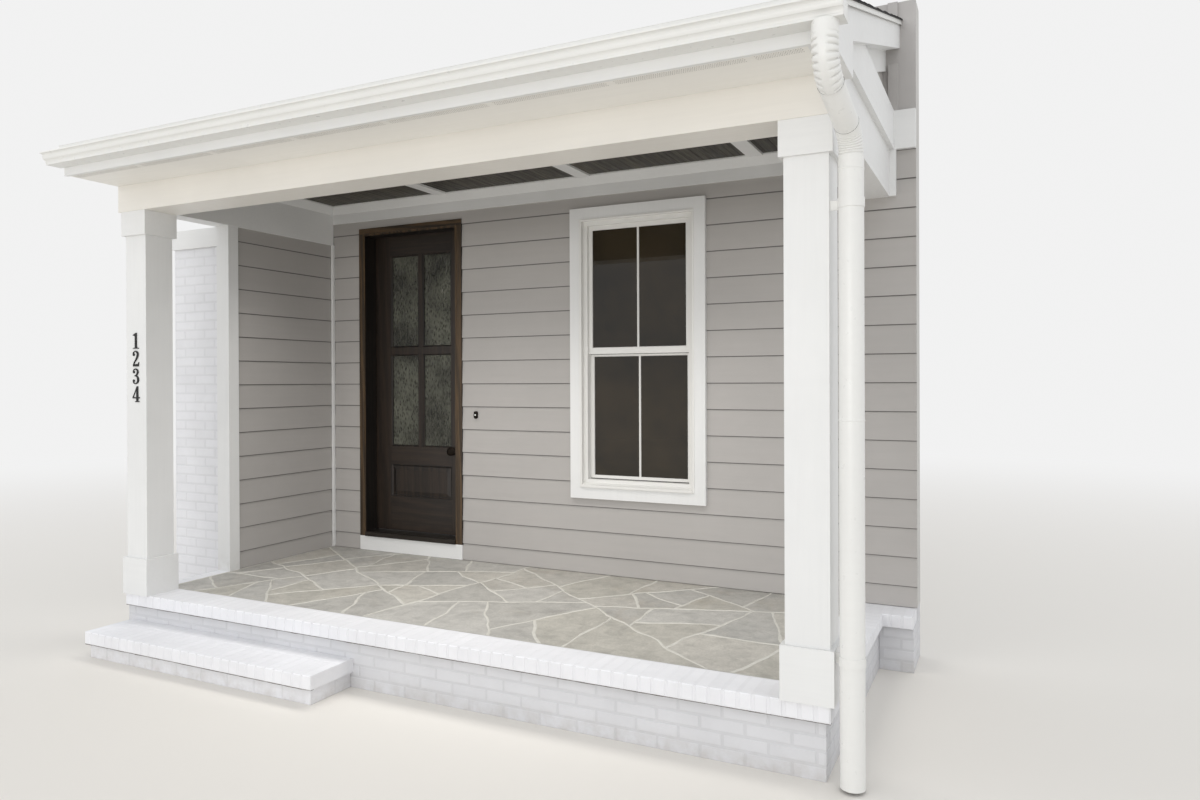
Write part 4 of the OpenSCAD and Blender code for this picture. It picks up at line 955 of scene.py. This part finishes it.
def build_door():
    a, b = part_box("door_leaf")
    g0, g1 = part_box("door_glass")
    sides = ((a.y, -1), (b.y, 1))                        # the outer and the inner face
    bar, mid, inset = 0.033, 0.050, 0.0135
    pw, ph = (g1.x - g0.x - bar) / 2, (g1.z - g0.z - mid) / 2
    panes = [(g0.x + i * (pw + bar), g0.z + k * (ph + mid)) for i in range(2) for k in range(2)]
    panel = (g0.x, g1.x, PANEL_Z0, PANEL_Z1)
    field = (g0.x + inset, g1.x - inset, PANEL_Z0 + inset, PANEL_Z1 - inset)
    ogee = [(0.0, 0.0), (0.0045, 0.0), (0.0065, -0.0020), (0.0085, -0.0058), (0.0120, -0.0085),
            (0.0128, -0.0125), (0.0128, -0.0165), (0.0, -0.0165)]
    shallow = [(0.0, 0.0), (0.004, 0.0), (0.007, -0.003), (0.010, -0.0065), (0.013, -0.0075),
               (0.013, -0.0085), (0.0, -0.0085)]
    bevel = [(0.0, -0.0096), (0.0300, -0.0040), (0.0318, -0.0030), (0.0318, -0.0098)]
    p = Part("door_walnut")
    for x, z in panes:
        for y, s in sides:
            strips(p, x, x + pw, z, z + ph, y - s * 0.0008, s, ogee)
    for y, s in sides:
        strips(p, *panel, y - s * 0.0008, s, shallow)
        strips(p, *field, y, s, bevel)
    p.make("door_mouldings", "door_wood", body="door")
    # painted shade: dark lines round panel and panes, standing for the shade in their mouldings' grooves; and
    # dark seams between stiles and rails
    q = Part("vent_shadow")
    deep, line = 0.0105, [(0.0, 0.0), (0.0, 0.0003), (0.0034, 0.0003), (0.0034, 0.0)]
    for y, s in sides:
        frames = [(*panel, 0.0), (*field, -0.0090)]
        frames += [(x + deep, x + pw - deep, z + deep, z + ph - deep, -0.0100) for x, z in panes]
        for *opening, depth in frames:
            strips(q, *opening, y + s * depth, s, line)
        ya, yb = sorted((y + s * 0.00002, y + s * 0.00015))
        for x in (g0.x, g1.x):
            for za, zb in ((a.z, PANEL_Z0), (PANEL_Z1, g0.z), (g1.z, b.z)):
                q.box((x - 0.0003, ya, za), (x + 0.0003, yb, zb))
    q.make("door_groove_shade_and_joints", "door_wood", body="door")
    # lever sets
    lx, lz, dz = b.x - 0.072, 1.136, 1.295               # the spindle, and the height of the lock's cylinder
    rose = [(0.0305, 0), (0.0310, 0.003), (0.0290, 0.0075), (0.0200, 0.0095), (0.0125, 0.0110),
            (0.0098, 0.018), (0.0098, 0.040), (0.0115, 0.0445), (0.0115, 0.0535), (0.0080, 0.0550)]
    collar = [(0.0290, 0), (0.0295, 0.003), (0.0275, 0.009), (0.0180, 0.0145), (0.0165, 0.0160)]
    arc = [pi * k / 12 for k in range(13)]
    plate = [(lx + 0.021 * cos(t) * s, z + s * 0.021 * sin(t))
             for z, s in ((lz - 0.0175, -1), (dz + 0.008, 1)) for t in arc]
    h = Part("dark_bronze")
    for y, s in sides:
        n = (0, s, 0)
        h.prism(plate, lambda u, v, t: Vector((u, t, v)), y + s * 0.0002, y + s * 0.0048)
        h.turned((lx, y, lz), n, rose, 36)
        # the lever: a flat drop that widens towards its rounded end
        path, radii = [], []
        for f in (k / 32 for k in range(33)):
            bow = sin(f * pi)
            path.append(Vector((lx + 0.012 - 0.112 * f, y + s * (0.0475 - 0.004 * bow), lz + 0.006 * bow)))
            end = sqrt(max(0.0009, 1 - max(0.0, (f - 0.70) / 0.30) ** 2))
            wide = 0.5 - 0.5 * cos(pi * min(1.0, f / 0.62))
            radii.append(ellipse((0.0115 + 0.0225 * wide) * end, (0.0110 + 0.0030 * wide) * end))
        h.tube(path, radii, Z, 24)
        h.turned((lx, y, dz), n, collar, 36)
        if s < 0:
            h.turned((lx, y + s * 0.016, dz), n, [(0.0125, -0.003), (0.0125, 0.0005), (0.0110, 0.0012)], 28)
        else:
            h.box((lx - 0.018, y + 0.016, dz - 0.005), (lx + 0.018, y + 0.030, dz + 0.005), 0, 0.0025)
    h.make("lever_set", "dark_metal", ["door_handle"], "door", 35)
    # painted shade: a flat dark slit on the cylinder stands for the keyhole's shadowed inside
    k = Part("vent_shadow")
    k.box((lx - 0.0008, a.y - 0.0174, dz - 0.0042), (lx + 0.0008, a.y - 0.0170, dz + 0.0042))
    k.make("keyhole", "dark_metal", body="door")


def build_frame():
    """A small bead along the inside of the surround's face, and ribs on the threshold."""
    a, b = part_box("door_frame")
    p = Part("frame_brown")
    w = 0.048
    x0, x1, z0, z1 = a.x + w, b.x - w, a.z + 0.045, b.z - w
    bead = [(0.0, 0.0), (0.0, -0.0035), (0.0045, -0.0045), (0.0075, -0.0020), (0.0090, 0.0)]
    corners = ((x0, z0, -1, 0), (x0, z1, -1, 1), (x1, z1, 1, 1), (x1, z0, 1, 0))
    v = [Vector((x + sx * q, a.y + d, z + sz * q)) for x, z, sx, sz in corners for q, d in bead]
    p.add(v, flip(across(4, len(bead), False)))
    p.make("frame_bead", "frame_wood")
    t0, t1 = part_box("door_threshold")
    t = Part("threshold_bronze")
    for k in range(4):
        y = t0.y + 0.012 + k * 0.010
        t.box((t0.x + 0.002, y, t1.z - 0.001), (t1.x - 0.002, y + 0.004, t1.z + 0.0014), 0, 0.0006)
    t.make("threshold_ribs", "threshold_metal")


def build_window():
    s0, s1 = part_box("window_sashes")
    w0, w1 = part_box("window_frame")
    c0 = lo("window_casing")
    cx, stile, tall = (s0.x + s1.x) / 2, 0.0255, 0.902
    front, split = s0.y - 0.0035, s0.y + 0.0230
    putty = [(0.0, 0.0), (0.0, 0.0068), (0.0012, 0.0066), (0.0036, 0.0010), (0.0036, 0.0)]
    bar = [(-0.0075, 0.0), (-0.0075, 0.0030), (-0.0040, 0.0064),
           (0.0040, 0.0064), (0.0075, 0.0030), (0.0075, 0.0)]
    p = Part("window_paint")
    g = Part("window_pane")
    # each sash: its front and back, its foot and head, its bottom and top rails
    for ya, yb, za, zb, low, high in ((front, split - 0.0005, s1.z - tall, s1.z, 0.0435, 0.0270),
                                      (split, s1.y, s0.z, s0.z + tall, 0.0235, 0.0355)):
        xa, xb, ga, gb = s0.x + stile, s1.x - stile, za + low, zb - high
        for x0, z0, x1, z1 in ((s0.x, za, xa, zb), (xb, za, s1.x, zb), (xa, za, xb, ga), (xa, gb, xb, zb)):
            p.box((x0, ya, z0), (x1, yb, z1), 0, 0.0008)
        yg = ya + 0.0080
        g.box((xa - 0.004, yg, ga - 0.004), (xb + 0.004, yg + 0.004, gb + 0.004))
        for y, sign in ((yg, -1), (yg + 0.004, 1)):
            strips(p, xa, xb, ga, gb, y, sign, putty)
            v = [Vector((cx + q, y + sign * d, z)) for z in (ga, gb) for q, d in bar]
            faces = along(2, len(bar), False)
            p.add(v, faces if sign > 0 else flip(faces))
    # sash lock on the lower sash's top rail
    top = s0.z + tall
    p.box((cx - 0.030, split + 0.012, top - 0.001), (cx + 0.030, s1.y - 0.006, top + 0.010), 0, 0.003)
    p.make("sash_rails", "white_wood", ["window_sashes"])
    g.make("sash_panes", "pane", ["window_glass"])
    # a stepped inner edge round the casing, and a sloping sill
    p = Part("window_paint")
    strips(p, w0.x, w1.x, w0.z, w1.z, c0.y, -1,
           [(-0.0150, 0.0), (-0.0150, 0.0045), (-0.0060, 0.0060), (0.0005, 0.0035), (0.0005, -0.0292),
            (-0.0020, -0.0292)])
    sill = [(c0.y - 0.012, w0.z - 0.012), (c0.y - 0.012, w0.z + 0.004), (split, w0.z + 0.0370), (split, w0.z),
            (c0.y - 0.001, w0.z - 0.0005), (c0.y - 0.001, w0.z - 0.012)]
    p.prism(sill, lambda y, z, x: Vector((x, y, z)), w0.x + 0.0005, w1.x - 0.0005)
    p.make("window_edges", "white_wood")
    # painted shade: dark strips at the lower sash's foot and under the upper sash's bottom rail, standing for
    # the shade in those gaps
    q = Part("vent_shadow")
    foot = s1.z - tall
    for z0, z1 in ((s0.z + 0.0002, s0.z + 0.0052), (foot - 0.0026, foot + 0.0004)):
        q.box((s0.x + 0.001, split - 0.0006, z0), (s1.x - 0.001, split + 0.0004, z1))
    q.make("sash_gap_shadow", "white_wood")


# ---- doorbell and house number

def build_small():
    a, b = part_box("doorbell")
    c = (a + b) / 2
    hw, hh, n = (b.x - a.x) / 2, (b.z - a.z) / 2, 40

    def oval(scale, y):
        """A slot-shaped outline with round ends."""
        ex, out = hw * scale, []
        for t in turns(n):
            lift = copysign(hh - hw, sin(t)) if abs(sin(t)) > 1e-9 else 0
            out.append(Vector((c.x + ex * cos(t), y, c.z + lift + ex * sin(t))))
        return out
    rings = [oval(1.0, b.y), oval(1.0, a.y + 0.0025), oval(0.93, a.y + 0.0008), oval(0.80, a.y),
             oval(0.62, a.y + 0.0012)]
    v = [q for r in rings for q in r]
    p = Part("dark_bronze", "bell_lens")
    ends = [tuple(range(n)), tuple(range(len(v) - n, len(v)))[::-1]]
    p.add(v, flip(across(len(rings), n) + ends))
    p.turned((c.x, a.y + 0.0022, c.z), (0, -1, 0),
             [(0.0068, 0.0), (0.0068, 0.0026), (0.0052, 0.0038), (0.0024, 0.0043)], 24, 1)
    p.make("bell_button", "dark_metal", ["doorbell"], smooth=35)
    cx = (lo("left_column").x + hi("left_column").x) / 2
    for k, d in enumerate("1234"):
        digit(d, cx, lo("left_column").y, 1.904 - k * 0.114, 0.101).make("house_digit_%d" % k, "dark_metal")


def ribbon(keys):
    """The outline of a stroke through key points (x, z, width), smoothed."""
    pts, last = [], len(keys) - 1
    for i in range(last):
        a, b, c, d = keys[max(i - 1, 0)], keys[i], keys[i + 1], keys[min(i + 2, last)]
        for j in range(8 if i < last - 1 else 9):
            t = j / 8
            pts.append([0.5 * (2 * b[m] + (c[m] - a[m]) * t + (2 * a[m] - 5 * b[m] + 4 * c[m] - d[m]) * t * t
                               + (3 * b[m] - a[m] - 3 * c[m] + d[m]) * t ** 3) for m in range(3)])
    left, right = [], []
    for k, (x, z, w) in enumerate(pts):
        p, q = pts[max(k - 1, 0)], pts[min(k + 1, len(pts) - 1)]
        dx, dz = q[0] - p[0], q[1] - p[1]
        n = hypot(dx, dz)
        left.append((x - dz / n * w / 2, z + dx / n * w / 2))
        right.append((x + dz / n * w / 2, z - dx / n * w / 2))
    return left + right[::-1]


def disc(x, z, r):
    return [(x + r * cos(t), z + r * sin(t)) for t in turns(20)]


STROKES = {
    "1": [[(0.25, 0), (0.41, 0), (0.41, 1.0), (0.36, 1.0), (0.25, 0.93)],
          [(0.07, 0), (0.59, 0), (0.59, 0.035), (0.43, 0.07), (0.23, 0.07), (0.07, 0.035)],
          [(0.26, 0.80), (0.26, 0.93), (0.37, 1.0), (0.33, 1.0), (0.08, 0.87), (0.08, 0.83), (0.12, 0.825)]],
    "2": [disc(0.145, 0.745, 0.082),
          ribbon([(0.085, 0.72, 0.03), (0.10, 0.86, 0.05), (0.28, 0.965, 0.06), (0.47, 0.86, 0.13),
                  (0.48, 0.68, 0.15), (0.37, 0.47, 0.11), (0.20, 0.26, 0.07), (0.10, 0.08, 0.06)]),
          [(0.07, 0), (0.56, 0), (0.61, 0.27), (0.57, 0.27), (0.52, 0.16), (0.13, 0.13), (0.07, 0.05)]],
    "3": [disc(0.145, 0.77, 0.078), disc(0.135, 0.215, 0.085),
          ribbon([(0.085, 0.76, 0.03), (0.12, 0.89, 0.05), (0.29, 0.968, 0.06), (0.46, 0.87, 0.12),
                  (0.46, 0.70, 0.13), (0.34, 0.56, 0.08), (0.20, 0.53, 0.05)]),
          ribbon([(0.20, 0.53, 0.05), (0.38, 0.51, 0.08), (0.50, 0.37, 0.15), (0.49, 0.17, 0.14),
                  (0.31, 0.032, 0.06), (0.13, 0.085, 0.05), (0.072, 0.22, 0.03)])],
    "4": [[(0.36, 0), (0.51, 0), (0.51, 1.0), (0.44, 1.0), (0.36, 0.86)],
          [(0.24, 0), (0.63, 0), (0.63, 0.035), (0.53, 0.065), (0.34, 0.065), (0.24, 0.035)],
          [(0.40, 1.0), (0.46, 1.0), (0.09, 0.31), (0.03, 0.31), (0.03, 0.26)],
          [(0.03, 0.23), (0.64, 0.23), (0.64, 0.31), (0.03, 0.31)]],
}


def digit(d, cx, y, z, size):
    """A cast figure with serifs, standing just proud of the board; z is its foot."""
    o = Part("digit_black")
    for i, shape in enumerate(STROKES[d]):
        o.prism(shape, lambda a, b, t: Vector((cx + (a - 0.33) * size * 1.08, t, z + b * size)),
                y - 0.0052 + 0.00005 * i, y - 0.0002)
    return o


build_door()
build_frame()
build_window()
build_small()


# ---- finishes of the CAD nodes

FINISH = {
    "white_wood_paint": "ceiling_crown",
    "white_board_x": "column_plinths column_caps fascia ceiling_frieze belt_board wing_band door_riser",
    "white_board_y": "left_side_beam right_side_beam upper_band right_rake rake_frieze ceiling_battens",
    "white_board_z": "left_column right_column corner_trim window_casing",
    "beam_warm_lit_white": "front_beam",
    "soffit_warm_lit_white": "eave_soffit",
    "white_enamel": "gutter downspout downspout_straps",
    "window_paint": "window_frame window_sashes",
    "window_pane": "window_glass",
    "roof_boards": "roof_deck",
    "siding_gable": "right_gable left_gable",
    "siding_x": "wall_siding",
    "siding_y": "side_siding",
    "siding_upright": "upper_siding",
    "wall_plaster": "wall_left_of_door wall_over_door wall_right_of_door side_wall",
    "frame_brown": "door_frame",
    "threshold_bronze": "door_threshold",
    "dark_bronze": "frame_hinges leaf_hinges",
    "door_leaf": "door_leaf",
    "rain_glass": "door_glass",
}
for key, names in FINISH.items():
    for n in names.split():
        nodes[n].data.materials.clear()
        nodes[n].data.materials.append(MAT[key].m)


# ---- floor, lights and camera

BACKDROP = (0.885, 0.885, 0.885, 1)
WORLD, FRONT, TOP, INNER = 0.98, 390, 40, 20


def direct_rays(t):
    """1 for camera, mirror and see-through rays, which meet the backdrop as it looks."""
    rays = add_node(t, "LightPath", {}).outputs
    seen = rays["Is Camera Ray"]
    for name in ("Is Glossy Ray", "Is Transmission Ray"):
        seen = add_node(t, "Math", {0: seen, 1: rays[name]}, "MAXIMUM").outputs[0]
    return seen


def stage():
    scene = bpy.context.scene
    m = Mat("stage_floor", 0.9, Base_Color=rgb((0.90, 0.885, 0.86)), Specular_IOR_Level=0.1)
    # far away the floor fades into the backdrop
    far = m.new("VectorMath", {0: m.here}, "LENGTH").outputs["Value"]
    fade = m.new("MapRange", {"Value": far, "From Min": 4.0, "From Max": 17.0})
    fade.interpolation_type = "SMOOTHSTEP"
    glow = m.new("Emission", {"Color": BACKDROP, "Strength": 1.0})
    share = m.mul(fade.outputs["Result"], direct_rays(m.t))
    both = m.new("MixShader", {0: share, 1: m.b.outputs[0], 2: glow.outputs[0]})
    m.t.links.new(both.outputs[0], m.t.nodes["Material Output"].inputs["Surface"])
    me = bpy.data.meshes.new("floor")
    s = 60.0
    me.from_pydata([(-s, -s, 0), (s, -s, 0), (s, s, 0), (-s, s, 0)], [], [(0, 1, 2, 3)])
    me.materials.append(m.m)
    o = bpy.data.objects.new("floor", me)
    scene.collection.objects.link(o)

    w = bpy.data.worlds.new("studio")
    scene.world = w
    w.use_nodes = True
    t = w.node_tree
    t.nodes.clear()
    light = add_node(t, "Background", {"Color": (0.95, 0.97, 1.0, 1), "Strength": WORLD}).outputs[0]
    seen = add_node(t, "Background", {"Color": BACKDROP, "Strength": 1.0}).outputs[0]
    both = add_node(t, "MixShader", {0: direct_rays(t), 1: light, 2: seen}).outputs[0]
    add_node(t, "OutputWorld", {0: both})

    def area(name, pos, aim, size, power, color, spread=180):
        lamp = bpy.data.lights.new(name, "AREA")
        lamp.shape = "RECTANGLE"
        lamp.size, lamp.size_y = size
        lamp.energy, lamp.color, lamp.spread = power, color, radians(spread)
        o = bpy.data.objects.new(name, lamp)
        o.rotation_euler = (Vector(aim) - Vector(pos)).normalized().to_track_quat("-Z", "Y").to_euler()
        o.location = pos
        scene.collection.objects.link(o)
    area("top", (0.5, -4.6, 7.5), (0.5, -2.4, 0), (9, 4), TOP, (1.0, 0.99, 0.97))
    area("front", (0.8, -14.0, 2.2), (0.2, 1.0, 1.7), (9, 4), FRONT, (1.0, 0.985, 0.96))
    area("inner", (0.0, 0.62, 2.76), (0.0, 0.63, 0.0), (3.4, 0.8), INNER, (1.0, 0.98, 0.95), 110)

    yaw, pitch, roll = radians(-25.99), radians(-0.17), radians(-0.22)
    fwd = Vector((sin(yaw) * cos(pitch), cos(yaw) * cos(pitch), sin(pitch)))
    right = Vector((cos(yaw), -sin(yaw), 0))
    up = right.cross(fwd)
    r2 = right * cos(roll) + up * sin(roll)
    u2 = up * cos(roll) - right * sin(roll)
    c = bpy.data.cameras.new("camera")
    c.lens, c.sensor_width, c.sensor_fit = 25.345, 36.0, "HORIZONTAL"
    c.shift_y, c.clip_start = -0.0134, 0.05
    camera = bpy.data.objects.new("camera", c)
    rot = Matrix((r2, u2, -fwd)).transposed().to_4x4()
    camera.matrix_world = Matrix.Translation((2.9075, -3.6586, 1.6826)) @ rot
    scene.collection.objects.link(camera)
    bpy.context.scene.camera = camera
    bpy.context.scene.view_settings.view_transform = "Standard"


stage()

bpy.context.view_layer.update()
